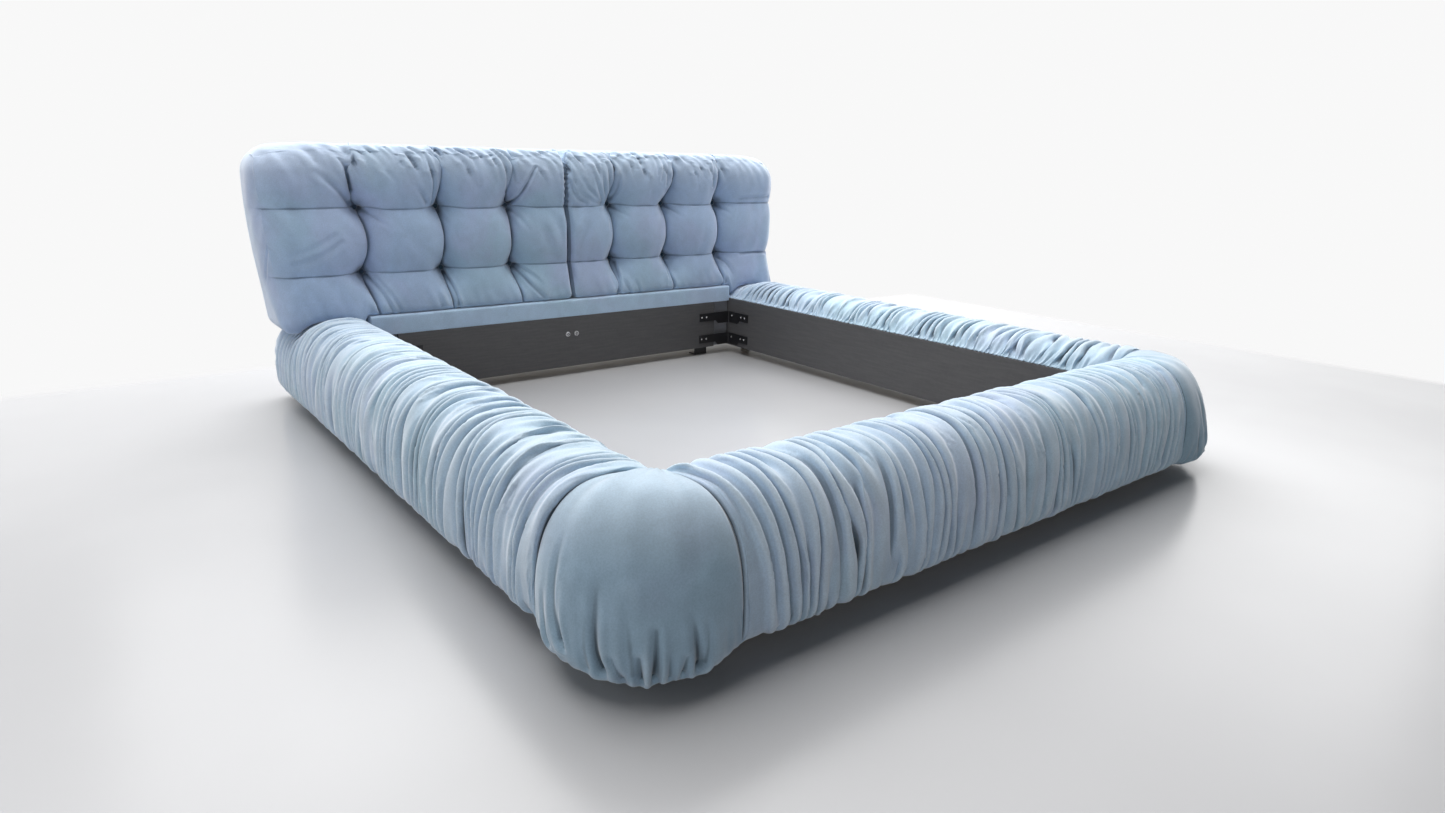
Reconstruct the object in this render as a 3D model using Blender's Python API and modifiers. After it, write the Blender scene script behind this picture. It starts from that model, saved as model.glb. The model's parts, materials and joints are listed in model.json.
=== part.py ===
"""Low bed frame: a headboard in two tufted halves, and a sunken well with fat ruched rolls round it.

Metres, +Z up, X across the bed, +Y towards the head. The origin is on the floor, in the middle of
the bed's outer length and width. The frame comes apart into a head unit, two side units and a foot
unit, which steel brackets join in the corners of the well.
"""

import math
import random

import bmesh
import bpy
from mathutils import Matrix, Vector

# Driving dimensions
MATTRESS_WIDTH = 1.80
MATTRESS_LENGTH = 2.00
SIDE_PLAY = 0.020
END_PLAY = 0.030
BOARD_THICKNESS = 0.018
BOARD_BOTTOM = 0.041
SIDE_BOARD_TOP = 0.290
HEAD_BOARD_TOP = 0.277
HEAD_BOARD_STOP = 0.100
ROLL_REACH = 0.316
ROLL_TOP = 0.376
ROLL_TOP_AT_HEAD = 0.346
ROLL_BOTTOM = 0.046
ROLL_WAIST = 0.145
ROLL_END_OVERHANG = 0.036
HEAD_RAIL_TOP = 0.356
HEADBOARD_DEPTH = 0.307
HEADBOARD_TOP = 1.022
HEADBOARD_HALF_WIDTH = 1.242
SEAT_GAP = 0.0003
SOFT_GAP = 0.0006
CUT_OVERRUN = 0.050

# Well and outer reach, worked out from the driving dimensions
WELL_HALF_WIDTH = MATTRESS_WIDTH / 2 + SIDE_PLAY
WELL_LENGTH = MATTRESS_LENGTH + 2 * END_PLAY
HEAD_DEPTH = HEADBOARD_DEPTH + ROLL_END_OVERHANG
ROLL_END_Y = (ROLL_REACH + WELL_LENGTH + HEAD_DEPTH) / 2
HEAD_Y = ROLL_END_Y - HEAD_DEPTH
FOOT_Y = HEAD_Y - WELL_LENGTH
BACK_Y = HEAD_Y + HEADBOARD_DEPTH

# Rolls
INNER_FULLNESS = 3.1
UPPER_FULLNESS = 2.35
LOWER_FULLNESS = 5.0
ROLL_LIP = 0.005
SKIN_STEPS = 12
SKIN_END_ANGLE = math.radians(-58)
CORE_START_ANGLE = math.radians(132)
CORE_END_ANGLE = math.radians(-45)
CORE_STEPS = 8
COVER_THICKNESS = 0.024
ROLL_END_ROUND = 0.085
ROLL_END_RINGS = 4
CORNER_PIVOT = 0.046
CORNER_RINGS = 8
CORNER_BULGE = 0.014
SEAM_PINCH = 0.012
SEAM_PINCH_LENGTH = 0.028
FOLD_PITCH = 0.118
FOLD_DEPTH = 0.015
FOLD_WANDER = 0.010
FOLD_LEAST_SHARE = 0.6
FOLD_PITCH_WANDER_SHARE = 0.25
FOLD_REACH_SHARE = 0.6
FOLD_SEED = 7
HEAD_DIP_LENGTH = 0.150

# Bottom boards
BASE_THICKNESS = 0.018
BASE_REACH = 0.225
BASE_TOP = BOARD_BOTTOM + BASE_THICKNESS

# Head rail
RAIL_COVER_THICKNESS = 0.007
RAIL_BAND_SET_BACK = 0.003
RAIL_EDGE_ROUND = 0.010
RAIL_EDGE_STEPS = 4

# Headboard halves
CUSHION_PARTING = 0.0005
CUSHION_SET_BACK = 0.005
CUSHION_LEAN = 0.045
CUSHION_END_ROUND = 0.080
CUSHION_TOP_ROUND = 0.100
CUSHION_LOW_ROUND = 0.035
CUSHION_SEAM_ROUND = 0.065
CUSHION_BACK_ROUND = 0.035
CUSHION_HEM_DROP = 0.046
CUSHION_HEM_FADE = 0.120
CUSHION_OVER_ROLL = 0.003
CUSHION_SPREAD = 0.024
CUSHION_SPREAD_SHARE = 0.7
SEAM_ROUND_SHARES = (0.15, 0.45, 1)
END_ROUND_SHARES = (0.15, 0.5, 1)
LOW_ROUND_SHARES = (0.4, 1)
TOP_ROUND_SHARES = (0.2, 0.55, 1)
FRONT_ROUND_SHARES = (0.3, 1)
OVER_ROLL_SHARES = (0.3, 0.5, 0.64)
BUTTON_COLUMNS = {"inner": 0.262, "middle": 0.576, "outer": 0.905}
LOWER_ROW_RISE = 0.167
UPPER_ROW_DROP = 0.243
BUTTON_ROWS = {"lower": HEAD_RAIL_TOP + LOWER_ROW_RISE, "upper": HEADBOARD_TOP - UPPER_ROW_DROP}
TUFT_DEPTH = 0.115
TUFT_RADIUS = 0.110
TUFT_SEAT = 0.013
FOLD_LINE_DEPTH = 0.052
FOLD_LINE_WIDTH = 0.155
SEAM_LINE_DEPTH = 0.036
SEAM_LINE_WIDTH = 0.120
CAVITY_FRONT = 0.185
CAVITY_MARGIN = 0.028
CAVITY_LOW_MARGIN = 0.055
BACK_BOARD_THICKNESS = 0.018
BACK_BOARD_SINK = 0.003

# Buttons
BUTTON_RADIUS = 0.011
BUTTON_RIM = 0.003
BUTTON_THICKNESS = 0.007
BUTTON_BACK_RADIUS = 0.010
BUTTON_DOME_STEPS = 3
BUTTON_STEPS = 12

# Steel and fastenings
POST_WIDTH = 0.050
POST_THICKNESS = 0.006
POST_EDGE = 0.001
POST_BOTTOM = 0.110
POST_TOP_DROP = 0.262
POST_END_INSET = 0.130
POST_SPACING = 0.560
POST_OUTER = WELL_HALF_WIDTH - POST_END_INSET
POST_PLACES = {"inner": POST_OUTER - POST_SPACING, "outer": POST_OUTER}
BRACKET_THICKNESS = 0.004
BRACKET_END_LEG = 0.195
BRACKET_SIDE_LEG = 0.160
BRACKET_END_HEIGHT = 0.042
BRACKET_MID_HEIGHT = 0.059
BRACKET_MID_REACH = 0.075
BRACKET_SLOPE = 0.016
BRACKET_BEND = 0.009
BRACKET_BEND_STEPS = 4
BRACKET_TOPS = {"upper": 0.222, "lower": 0.107}
BOLT_HEIGHT = 0.196
BOLT_PLACES = {"left": -0.045, "right": 0.0}
BOLT_SHANK_RADIUS = 0.005
BOLT_HEAD_RADIUS = 0.0065
BOLT_RING_RADIUS = 0.0115
BOLT_RING_THICKNESS = 0.0025
BOLT_HEAD_HEIGHT = 0.0040
BOLT_SOCKET_RADIUS = 0.0030
BOLT_SOCKET_DEPTH = 0.0030
BOLT_LENGTH = 0.060
BOLT_CLEARANCE = 0.0004
BOLT_STEPS = 16
LEG_WIDTH = 0.076
LEG_PLACE = 0.758
LEG_THICKNESS = 0.005
LEG_FLANGE = 0.050
LEG_SET_BACK = 0.014
FOOT_RADIUS = 0.026
FOOT_CHAMFER = 0.003
FOOT_STEPS = 20
FOOT_REACH = 0.140
SIDE_FOOT_PLACES = {"head": 0.120, "front": 1.780}
FOOT_RAIL_PLACE = 0.780

SIDES = {"left": -1, "right": 1}

FINISHES = {
    "leather": ((0.300, 0.420, 0.540), 0.75, 0.0),
    "rail_leather": ((0.290, 0.330, 0.390), 0.78, 0.0),
    "board": ((0.055, 0.055, 0.058), 0.45, 0.0),
    "timber": ((0.520, 0.380, 0.230), 0.70, 0.0),
    "foam": ((0.780, 0.740, 0.600), 0.95, 0.0),
    "black_steel": ((0.015, 0.015, 0.017), 0.38, 0.6),
    "bright_steel": ((0.550, 0.550, 0.560), 0.30, 1.0),
    "plastic": ((0.025, 0.025, 0.027), 0.50, 0.0),
    "button": ((0.020, 0.045, 0.070), 0.70, 0.0),
}


# Scene and materials


def clear_scene():
    for old in list(bpy.data.objects):
        bpy.data.objects.remove(old, do_unlink=True)


def new_collection(name):
    made = bpy.data.collections.new(name)
    bpy.context.scene.collection.children.link(made)
    return made


def material_for(finish, name):
    colour, roughness, metallic = FINISHES[finish]
    made = bpy.data.materials.new(name)
    made.use_nodes = True
    made.diffuse_color = (*colour, 1)
    shader = made.node_tree.nodes["Principled BSDF"]
    shader.inputs["Base Color"].default_value = (*colour, 1)
    shader.inputs["Roughness"].default_value = roughness
    shader.inputs["Metallic"].default_value = metallic
    return made


clear_scene()
PARTS = new_collection("leather_bed")
CUTTERS = new_collection("cutters")


def object_from(name, bm, collection):
    bm.normal_update()
    bmesh.ops.recalc_face_normals(bm, faces=bm.faces)
    mesh = bpy.data.meshes.new(name)
    bm.to_mesh(mesh)
    bm.free()
    made = bpy.data.objects.new(name, mesh)
    collection.objects.link(made)
    return made


def add_part(name, bm, finish, smooth=False):
    """Turns a bmesh into a named part with its own material."""
    part = object_from(name, bm, PARTS)
    part.data.materials.append(material_for(finish, name))
    if smooth:
        part.data.shade_smooth()
        part.data.set_sharp_from_angle(angle=math.radians(40))
    return part


def add_cutter(name, bm):
    cutter = object_from(name, bm, CUTTERS)
    cutter.hide_render = True
    cutter.display_type = "WIRE"
    return cutter


def cut(part, cutter):
    boolean = part.modifiers.new("cut_" + cutter.name, "BOOLEAN")
    boolean.operation = "DIFFERENCE"
    boolean.solver = "EXACT"
    boolean.object = cutter


def bevel(part, width, segments=1):
    rounding = part.modifiers.new("edges", "BEVEL")
    rounding.width = width
    rounding.segments = segments
    rounding.limit_method = "ANGLE"
    rounding.angle_limit = math.radians(40)


# Shapes that several pieces share


def box(low, high):
    """A cube primitive stretched between two corners."""
    bm = bmesh.new()
    bmesh.ops.create_cube(bm, size=1)
    low, high = Vector(low), Vector(high)
    size, middle = high - low, (low + high) / 2
    for vertex in bm.verts:
        vertex.co = Vector(a * b for a, b in zip(vertex.co, size)) + middle
    return bm


def loft(rings):
    """Closed skin through rings of equal count, with flat ends. Points that meet on an axis become one."""
    bm = bmesh.new()
    made = [[bm.verts.new(point) for point in ring] for ring in rings]
    count = len(made[0])
    for first, second in zip(made, made[1:]):
        for i in range(count):
            j = (i + 1) % count
            bm.faces.new((first[i], first[j], second[j], second[i]))
    bm.faces.new(made[0])
    bm.faces.new(made[-1])
    bmesh.ops.remove_doubles(bm, verts=bm.verts, dist=SEAT_GAP / 100)
    return bm


def prism(outline, place, start, end):
    """An outline of (a, b) points swept straight from start to end: place gives each point's position."""
    return loft([[place(a, b, stop) for a, b in outline] for stop in (start, end)])


def turned(name, profile, finish, steps):
    """A profile of (radius, height) points, listed down its outer side, turned about Z."""
    bm = bmesh.new()
    points = [bm.verts.new((radius, 0, height)) for radius, height in profile]
    for first, second in zip(points, points[1:]):
        bm.edges.new((first, second))
    mesh = bpy.data.meshes.new(name)
    bm.to_mesh(mesh)
    bm.free()
    part = bpy.data.objects.new(name, mesh)
    PARTS.objects.link(part)
    part.data.materials.append(material_for(finish, name))
    screw = part.modifiers.new("turn", "SCREW")
    screw.steps = steps
    screw.render_steps = steps
    screw.use_merge_vertices = True
    screw.merge_threshold = SEAT_GAP / 100
    screw.use_smooth_shade = False
    return part


# Roll section, as (reach out from the well face, height) points


def power_of(value, power):
    return math.copysign(abs(value) ** power, value)


def section_point(angle, top, swell=0.0):
    """A point of the roll's skin: 180 degrees is the well side, 90 the crest, 0 the outer side."""
    across, up = math.cos(angle), math.sin(angle)
    fullness = UPPER_FULLNESS if up >= 0 else LOWER_FULLNESS
    if across < 0:
        fullness = INNER_FULLNESS
    half = ROLL_REACH / 2
    rise = top - ROLL_WAIST if up >= 0 else ROLL_WAIST - ROLL_BOTTOM
    reach = half + (half + swell) * power_of(across, 2 / fullness)
    return reach, ROLL_WAIST + (rise + swell) * power_of(up, 2 / fullness)


def crest_height(reach, top):
    """Height of the roll's upper skin at a reach from the well face."""
    half = ROLL_REACH / 2
    fullness = INNER_FULLNESS if reach < half else UPPER_FULLNESS
    share = min(1, abs(reach - half) / half)
    return ROLL_WAIST + (top - ROLL_WAIST) * (1 - share**fullness) ** (1 / fullness)


def lip_angle(height, top):
    """Angle on the well side at which the skin stands at this height."""
    share = (height - ROLL_WAIST) / (top - ROLL_WAIST)
    return math.pi - math.asin(share ** (INNER_FULLNESS / 2))


def spread(start, end, steps):
    return [start + (end - start) * step / steps for step in range(steps + 1)]


def skin_outline(top, swells):
    """The covered roll, solid: from its lip above the side board over the crest to the underside."""
    lip_height = SIDE_BOARD_TOP + SEAT_GAP
    start = lip_angle(lip_height + ROLL_LIP, top)
    outline = [(ROLL_LIP, lip_height)]
    for angle, swell in zip(spread(start, SKIN_END_ANGLE, SKIN_STEPS), swells):
        outline.append(section_point(angle, top, swell))
    inner = BOARD_THICKNESS + SEAT_GAP
    outline.append((BASE_REACH + SOFT_GAP, ROLL_BOTTOM))
    outline.append((inner, ROLL_BOTTOM))
    outline.append((inner, lip_height))
    return outline


def core_skin(top, slack):
    """The curved side of the foam, or of the space for it when slack is positive."""
    angles = spread(CORE_START_ANGLE, CORE_END_ANGLE, CORE_STEPS)
    return [section_point(angle, top, slack - COVER_THICKNESS) for angle in angles]


def foam_outline(top):
    inner = BOARD_THICKNESS + SOFT_GAP
    low = BASE_TOP + SEAT_GAP
    tall = SIDE_BOARD_TOP - BOARD_THICKNESS
    return [(inner, low), (inner, tall), *core_skin(top, -SOFT_GAP), (BASE_REACH, low)]


def core_outline(top):
    """What a roll's cover leaves free inside: the foam, the bottom board and the open side."""
    inner = BOARD_THICKNESS / 2
    tall = SIDE_BOARD_TOP - BOARD_THICKNESS + SOFT_GAP
    low = ROLL_BOTTOM - CUT_OVERRUN
    outer = BASE_REACH + SOFT_GAP
    return [(inner, low), (inner, tall), *core_skin(top, 0.0), (outer, BASE_TOP), (outer, low)]


def skin_weights():
    """How far folds reach round the skin: none at the tucked edges, full over the crest and side."""
    places = [math.pi * (2 * step + 1) / (2 * SKIN_STEPS + 2) for step in range(SKIN_STEPS + 1)]
    return [math.sin(place) ** FOLD_REACH_SHARE for place in places]


def fold_stations(length, seed):
    """Places along a roll and how far the skin draws in there: valley, crest, valley and so on."""
    draw = random.Random(seed)
    folds = round(length / FOLD_PITCH)
    step = length / folds / 2
    stations = []
    for index in range(1, 2 * folds):
        wander = draw.uniform(-1, 1) * step * FOLD_PITCH_WANDER_SHARE
        depth = FOLD_DEPTH * draw.uniform(FOLD_LEAST_SHARE, 1) if index % 2 else 0.0
        phase = draw.uniform(0, math.pi)
        stations.append((index * step + wander, depth, phase))
    return stations


def seam_pinch(distance):
    return SEAM_PINCH * max(0.0, 1 - distance / SEAM_PINCH_LENGTH)


def roll_rings(place, length, top_at, seed, pinched_ends):
    """Rings of a ruched roll from 0 to length: place gives a point from reach, height and distance."""
    weights = skin_weights()
    stations = fold_stations(length, seed)
    stations = [(0.0, 0.0, 0.0), *stations, (length, 0.0, 0.0)]
    rings = []
    for distance, depth, phase in stations:
        ends = [distance, length - distance][:pinched_ends]
        depth = max([depth] + [seam_pinch(end) for end in ends])
        outline = skin_outline(top_at(distance), [-depth * weight for weight in weights])
        at_end = distance in (0.0, length)
        ring = []
        for index, (reach, height) in enumerate(outline):
            share = index / len(outline)
            bow = 0.0 if at_end else FOLD_WANDER * math.sin(math.pi * share * 2 + phase)
            ring.append(place(reach, height, distance + bow * weights[min(index, SKIN_STEPS)]))
        rings.append(ring)
    return rings


# Side units


def side_place(sign):
    """A placing function for a side unit: reach outwards, height, distance from the foot seam."""
    seam_y = FOOT_Y - CORNER_PIVOT + SEAT_GAP

    def place(reach, height, distance):
        return sign * (WELL_HALF_WIDTH + reach), seam_y + distance, height

    return place


SIDE_LENGTH = HEAD_Y - FOOT_Y + CORNER_PIVOT - SEAT_GAP
SIDE_CORE_LENGTH = SIDE_LENGTH + HEAD_DEPTH - ROLL_END_ROUND


def side_top(distance):
    """Crest height along a side roll, which the headboard presses down at its end."""
    share = (distance - (SIDE_LENGTH - HEAD_DIP_LENGTH)) / HEAD_DIP_LENGTH
    share = min(1, max(0.0, share))
    return ROLL_TOP + (ROLL_TOP_AT_HEAD - ROLL_TOP) * share * share * (3 - 2 * share)


def rounded_end_rings(place):
    """Rings that carry the roll under the headboard and close its head end with a rounded edge."""
    board_edge = BOARD_THICKNESS + SEAT_GAP
    over_board = SIDE_BOARD_TOP + SEAT_GAP + ROLL_LIP
    outline = skin_outline(ROLL_TOP_AT_HEAD, [0.0] * (SKIN_STEPS + 1))
    start = SIDE_CORE_LENGTH
    rings = []
    for step in range(ROLL_END_RINGS + 1):
        turn = math.pi / 2 * step / ROLL_END_RINGS
        along = start + ROLL_END_ROUND * math.sin(turn)
        shrink = 1 - ROLL_END_ROUND / ROLL_REACH * (1 - math.cos(turn))
        ring = []
        for reach, height in outline:
            lowest = min(height, over_board) if reach <= board_edge else 0.0
            height = max(lowest, ROLL_WAIST + (height - ROLL_WAIST) * shrink)
            ring.append(place(board_edge + (reach - board_edge) * shrink, height, along))
        rings.append(ring)
    return rings


def mitre_cutter(name, sign, cuts_side):
    """A wedge that trims a side or foot piece along the diagonal of the well's corner."""
    over = CUT_OVERRUN
    near = (WELL_HALF_WIDTH - over, FOOT_Y + over)
    far = (WELL_HALF_WIDTH + CORNER_PIVOT + over, FOOT_Y - CORNER_PIVOT - over)
    spare = (near[0], far[1]) if cuts_side else (far[0], near[1])
    shift = SEAT_GAP / 2 if cuts_side else -SEAT_GAP / 2
    plan = [(x + shift, y + shift) for x, y in (near, far, spare)]

    def place(x, y, height):
        return sign * x, y, height

    return add_cutter(name, prism(plan, place, -over, ROLL_TOP + over))


def side_unit(side, sign):
    place = side_place(sign)
    board_end = FOOT_Y - BOARD_THICKNESS
    low = (sign * WELL_HALF_WIDTH, board_end, BOARD_BOTTOM)
    high = (sign * (WELL_HALF_WIDTH + BOARD_THICKNESS), BACK_Y, SIDE_BOARD_TOP)
    add_part(f"side_board_{side}", box(low, high), "board")

    mitre = mitre_cutter(f"side_mitre_{side}", sign, True)

    inner, low, high = BOARD_THICKNESS + SEAT_GAP, BOARD_BOTTOM, BASE_TOP
    outline = [(inner, low), (inner, high), (BASE_REACH, high), (BASE_REACH, low)]
    base = add_part(f"side_base_{side}", prism(outline, place, 0.0, SIDE_CORE_LENGTH - SOFT_GAP), "timber")
    cut(base, mitre)

    ends = [(0.0, ROLL_TOP), (SIDE_LENGTH - HEAD_DIP_LENGTH, ROLL_TOP)]
    ends += [(SIDE_LENGTH, ROLL_TOP_AT_HEAD), (SIDE_CORE_LENGTH - SOFT_GAP, ROLL_TOP_AT_HEAD)]
    rings = [[place(reach, height, along) for reach, height in foam_outline(top)] for along, top in ends]
    foam = add_part(f"side_foam_{side}", loft(rings), "foam", smooth=True)
    cut(foam, mitre)

    rings = roll_rings(place, SIDE_LENGTH, side_top, FOLD_SEED + sign, 1) + rounded_end_rings(place)
    cover = add_part(f"side_roll_{side}", loft(rings), "leather", smooth=True)
    ends[0] = (-CUT_OVERRUN, ROLL_TOP)
    ends[-1] = (SIDE_CORE_LENGTH, ROLL_TOP_AT_HEAD)
    rings = [[place(reach, height, along) for reach, height in core_outline(top)] for along, top in ends]
    cut(cover, add_cutter(f"side_core_{side}", loft(rings)))
    cut(cover, mitre)


# Foot unit

FOOT_HALF = WELL_HALF_WIDTH + CORNER_PIVOT - SEAT_GAP


def foot_place(reach, height, distance):
    return distance - FOOT_HALF, FOOT_Y - reach, height


def foot_top(_distance):
    return ROLL_TOP


def corner_place(sign):
    """A placing function for a foot corner: reach from the pivot, height, angle from the side seam."""

    def place(reach, height, angle):
        x = WELL_HALF_WIDTH + CORNER_PIVOT + reach * math.cos(angle)
        return sign * x, FOOT_Y - CORNER_PIVOT - reach * math.sin(angle), height

    return place


def beyond_pivot(points):
    return [(max(0.0, reach - CORNER_PIVOT), height) for reach, height in points]


def corner_cover_outline(bulge):
    """The smooth corner's section from the pivot outwards: outer skin, then back along the foam."""
    pivot_height = crest_height(CORNER_PIVOT, ROLL_TOP)
    outer = [(CORNER_PIVOT, pivot_height)]
    angles = spread(lip_angle(pivot_height, ROLL_TOP), SKIN_END_ANGLE, SKIN_STEPS)
    for angle, weight in list(zip(angles, skin_weights()))[1:]:
        outer.append(section_point(angle, ROLL_TOP, bulge * weight))
    outer.append((BASE_REACH + SOFT_GAP, ROLL_BOTTOM))
    core = [point for point in core_skin(ROLL_TOP, 0.0) if point[0] > CORNER_PIVOT]
    inner = [(BASE_REACH + SOFT_GAP, BASE_TOP + SEAT_GAP), *reversed(core), (CORNER_PIVOT, core[0][1])]
    return beyond_pivot(outer + inner)


def corner_foam_outline():
    core = [point for point in core_skin(ROLL_TOP, -SOFT_GAP) if point[0] > CORNER_PIVOT]
    low = BASE_TOP + SEAT_GAP
    outline = [(CORNER_PIVOT, low), (CORNER_PIVOT, core[0][1]), *core, (BASE_REACH, low)]
    return beyond_pivot(outline)


def corner_rings(place, outline_at, slack):
    """Rings round a quarter turn, held back from both seams by slack at the outer reach."""
    spare = slack / ROLL_REACH
    angles = spread(spare, math.pi / 2 - spare, CORNER_RINGS - 1)
    return [[place(reach, height, angle) for reach, height in outline_at(angle)] for angle in angles]


def corner_swell(angle):
    """How far the corner's skin stands out between its two drawn-in seams."""
    share = math.sin(2 * angle)
    return -SEAM_PINCH + (SEAM_PINCH + CORNER_BULGE) * share**0.5


def foot_base_plan():
    """Plan of the foot unit's bottom board, which runs round both corners to the side units."""
    radius = BASE_REACH - CORNER_PIVOT
    inner = BOARD_THICKNESS + SEAT_GAP
    seam = FOOT_Y - CORNER_PIVOT - SEAT_GAP
    half = [(WELL_HALF_WIDTH + inner, FOOT_Y - inner), (WELL_HALF_WIDTH + CORNER_PIVOT, seam)]
    for angle in spread(0.0, math.pi / 2, CORNER_RINGS - 1):
        x = WELL_HALF_WIDTH + CORNER_PIVOT + radius * math.cos(angle)
        half.append((x, seam - radius * math.sin(angle)))
    return half + [(-x, y) for x, y in reversed(half)]


def flat_place(x, y, height):
    return x, y, height


def foot_unit():
    low = (SEAT_GAP - WELL_HALF_WIDTH, FOOT_Y - BOARD_THICKNESS, BOARD_BOTTOM)
    high = (WELL_HALF_WIDTH - SEAT_GAP, FOOT_Y, SIDE_BOARD_TOP)
    add_part("foot_board", box(low, high), "board")
    add_part("foot_base", prism(foot_base_plan(), flat_place, BOARD_BOTTOM, BASE_TOP), "timber")

    mitres = [mitre_cutter(f"foot_mitre_{side}", sign, False) for side, sign in SIDES.items()]
    length = 2 * FOOT_HALF
    foam = prism(foam_outline(ROLL_TOP), foot_place, 0.0, length)
    foam = add_part("foot_foam", foam, "foam", smooth=True)
    cover = roll_rings(foot_place, length, foot_top, FOLD_SEED, 2)
    cover = add_part("foot_roll", loft(cover), "leather", smooth=True)
    core = prism(core_outline(ROLL_TOP), foot_place, -CUT_OVERRUN, length + CUT_OVERRUN)
    cut(cover, add_cutter("foot_core", core))
    for mitre in mitres:
        cut(foam, mitre)
        cut(cover, mitre)

    for side, sign in SIDES.items():
        place = corner_place(sign)
        rings = corner_rings(place, lambda angle: corner_cover_outline(corner_swell(angle)), SEAT_GAP)
        add_part(f"foot_corner_{side}", loft(rings), "leather", smooth=True)
        rings = corner_rings(place, lambda _angle: corner_foam_outline(), SOFT_GAP)
        add_part(f"corner_foam_{side}", loft(rings), "foam", smooth=True)


# Head unit


def bolt_hole_cutter(name, x):
    """A round cutter along the bolt, from in front of the head board to the end of its hole."""
    bm = bmesh.new()
    radius = BOLT_SHANK_RADIUS + BOLT_CLEARANCE
    depth = CUT_OVERRUN + BOLT_LENGTH + BOLT_CLEARANCE
    sizes = {"radius1": radius, "radius2": radius, "depth": depth}
    bmesh.ops.create_cone(bm, cap_ends=True, segments=BOLT_STEPS, **sizes)
    turn = Matrix.Rotation(math.pi / 2, 4, "X")
    middle_y = HEAD_Y - CUT_OVERRUN + depth / 2
    bmesh.ops.transform(bm, matrix=Matrix.Translation((x, middle_y, BOLT_HEIGHT)) @ turn, verts=bm.verts)
    return add_cutter(name, bm)


def ringed_bolt(name, x):
    """A bolt with a wide ring under its socket head, lying along Y with its head to the well."""
    ring, head = BOLT_RING_THICKNESS, BOLT_RING_THICKNESS + BOLT_HEAD_HEIGHT
    profile = [
        (0.0, head - BOLT_SOCKET_DEPTH),
        (BOLT_SOCKET_RADIUS, head - BOLT_SOCKET_DEPTH),
        (BOLT_SOCKET_RADIUS, head),
        (BOLT_HEAD_RADIUS, head),
        (BOLT_HEAD_RADIUS, ring),
        (BOLT_RING_RADIUS, ring),
        (BOLT_RING_RADIUS, 0.0),
        (BOLT_SHANK_RADIUS, 0.0),
        (BOLT_SHANK_RADIUS, -BOLT_LENGTH),
        (0.0, -BOLT_LENGTH),
    ]
    bolt = turned(name, profile, "bright_steel", BOLT_STEPS)
    bolt.location = (x, HEAD_Y - SEAT_GAP, BOLT_HEIGHT)
    bolt.rotation_euler = (math.pi / 2, 0, 0)


def rail_cover_outline():
    """Section of the head rail's leather: a flat front behind the board, a padded band above it."""
    front = HEAD_Y + BOARD_THICKNESS + SEAT_GAP
    band = HEAD_Y + RAIL_BAND_SET_BACK
    wall = RAIL_COVER_THICKNESS
    step = HEAD_BOARD_TOP + SEAT_GAP
    outline = [(front, BOARD_BOTTOM), (front, step), (band, step)]
    for angle in spread(0.0, math.pi / 2, RAIL_EDGE_STEPS):
        y = band + RAIL_EDGE_ROUND * (1 - math.cos(angle))
        outline.append((y, HEAD_RAIL_TOP - RAIL_EDGE_ROUND * (1 - math.sin(angle))))
    for angle in spread(0.0, math.pi / 2, RAIL_EDGE_STEPS):
        y = BACK_Y - RAIL_EDGE_ROUND * (1 - math.sin(angle))
        outline.append((y, HEAD_RAIL_TOP - RAIL_EDGE_ROUND * (1 - math.cos(angle))))
    outline += [(BACK_Y, BOARD_BOTTOM), (BACK_Y - wall, BOARD_BOTTOM)]
    outline += [(BACK_Y - wall, HEAD_RAIL_TOP - wall), (front + wall, HEAD_RAIL_TOP - wall)]
    return outline + [(front + wall, BOARD_BOTTOM)]


def rail_place(y, z, x):
    return x, y, z


def head_rail():
    half = WELL_HALF_WIDTH - SEAT_GAP
    wall = RAIL_COVER_THICKNESS + SEAT_GAP
    front = HEAD_Y + BOARD_THICKNESS + SEAT_GAP
    beam = box((-half, front + wall, BOARD_BOTTOM), (half, BACK_Y - wall, HEAD_RAIL_TOP - wall))
    beam = add_part("head_rail_beam", beam, "timber")
    cover = prism(rail_cover_outline(), rail_place, -half, half)
    cover = add_part("head_rail_cover", cover, "rail_leather")
    reach = WELL_HALF_WIDTH - HEAD_BOARD_STOP
    board = box((-reach, HEAD_Y, BOARD_BOTTOM), (reach, HEAD_Y + BOARD_THICKNESS, HEAD_BOARD_TOP))
    board = add_part("head_board", board, "board")
    for side, x in BOLT_PLACES.items():
        ringed_bolt(f"head_bolt_{side}", x)
        hole = bolt_hole_cutter(f"bolt_hole_{side}", x)
        for drilled in (board, cover, beam):
            cut(drilled, hole)
    for side, sign in SIDES.items():
        head_leg(side, sign)


def head_leg(side, sign):
    """A bent steel foot: a flange under the rail, an upright strip and a flange on the floor."""
    front = HEAD_Y + LEG_SET_BACK + BOARD_THICKNESS
    back = front + LEG_FLANGE
    top = BOARD_BOTTOM - SEAT_GAP
    wall = LEG_THICKNESS
    outline = [(front, 0.0), (back, 0.0), (back, wall), (front + wall, wall)]
    outline += [(front + wall, top - wall), (back, top - wall), (back, top), (front, top)]
    start = sign * LEG_PLACE - LEG_WIDTH / 2
    add_part(f"head_leg_{side}", prism(outline, rail_place, start, start + LEG_WIDTH), "black_steel")


# Headboard halves

CUSHION_LOW = HEAD_RAIL_TOP + SEAT_GAP
CUSHION_FRONT = HEAD_Y + CUSHION_SET_BACK


def fade(distance, width):
    """One at the line, easing to nothing a width away."""
    share = min(1, abs(distance) / width)
    return (1 - share * share) ** 2


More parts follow.
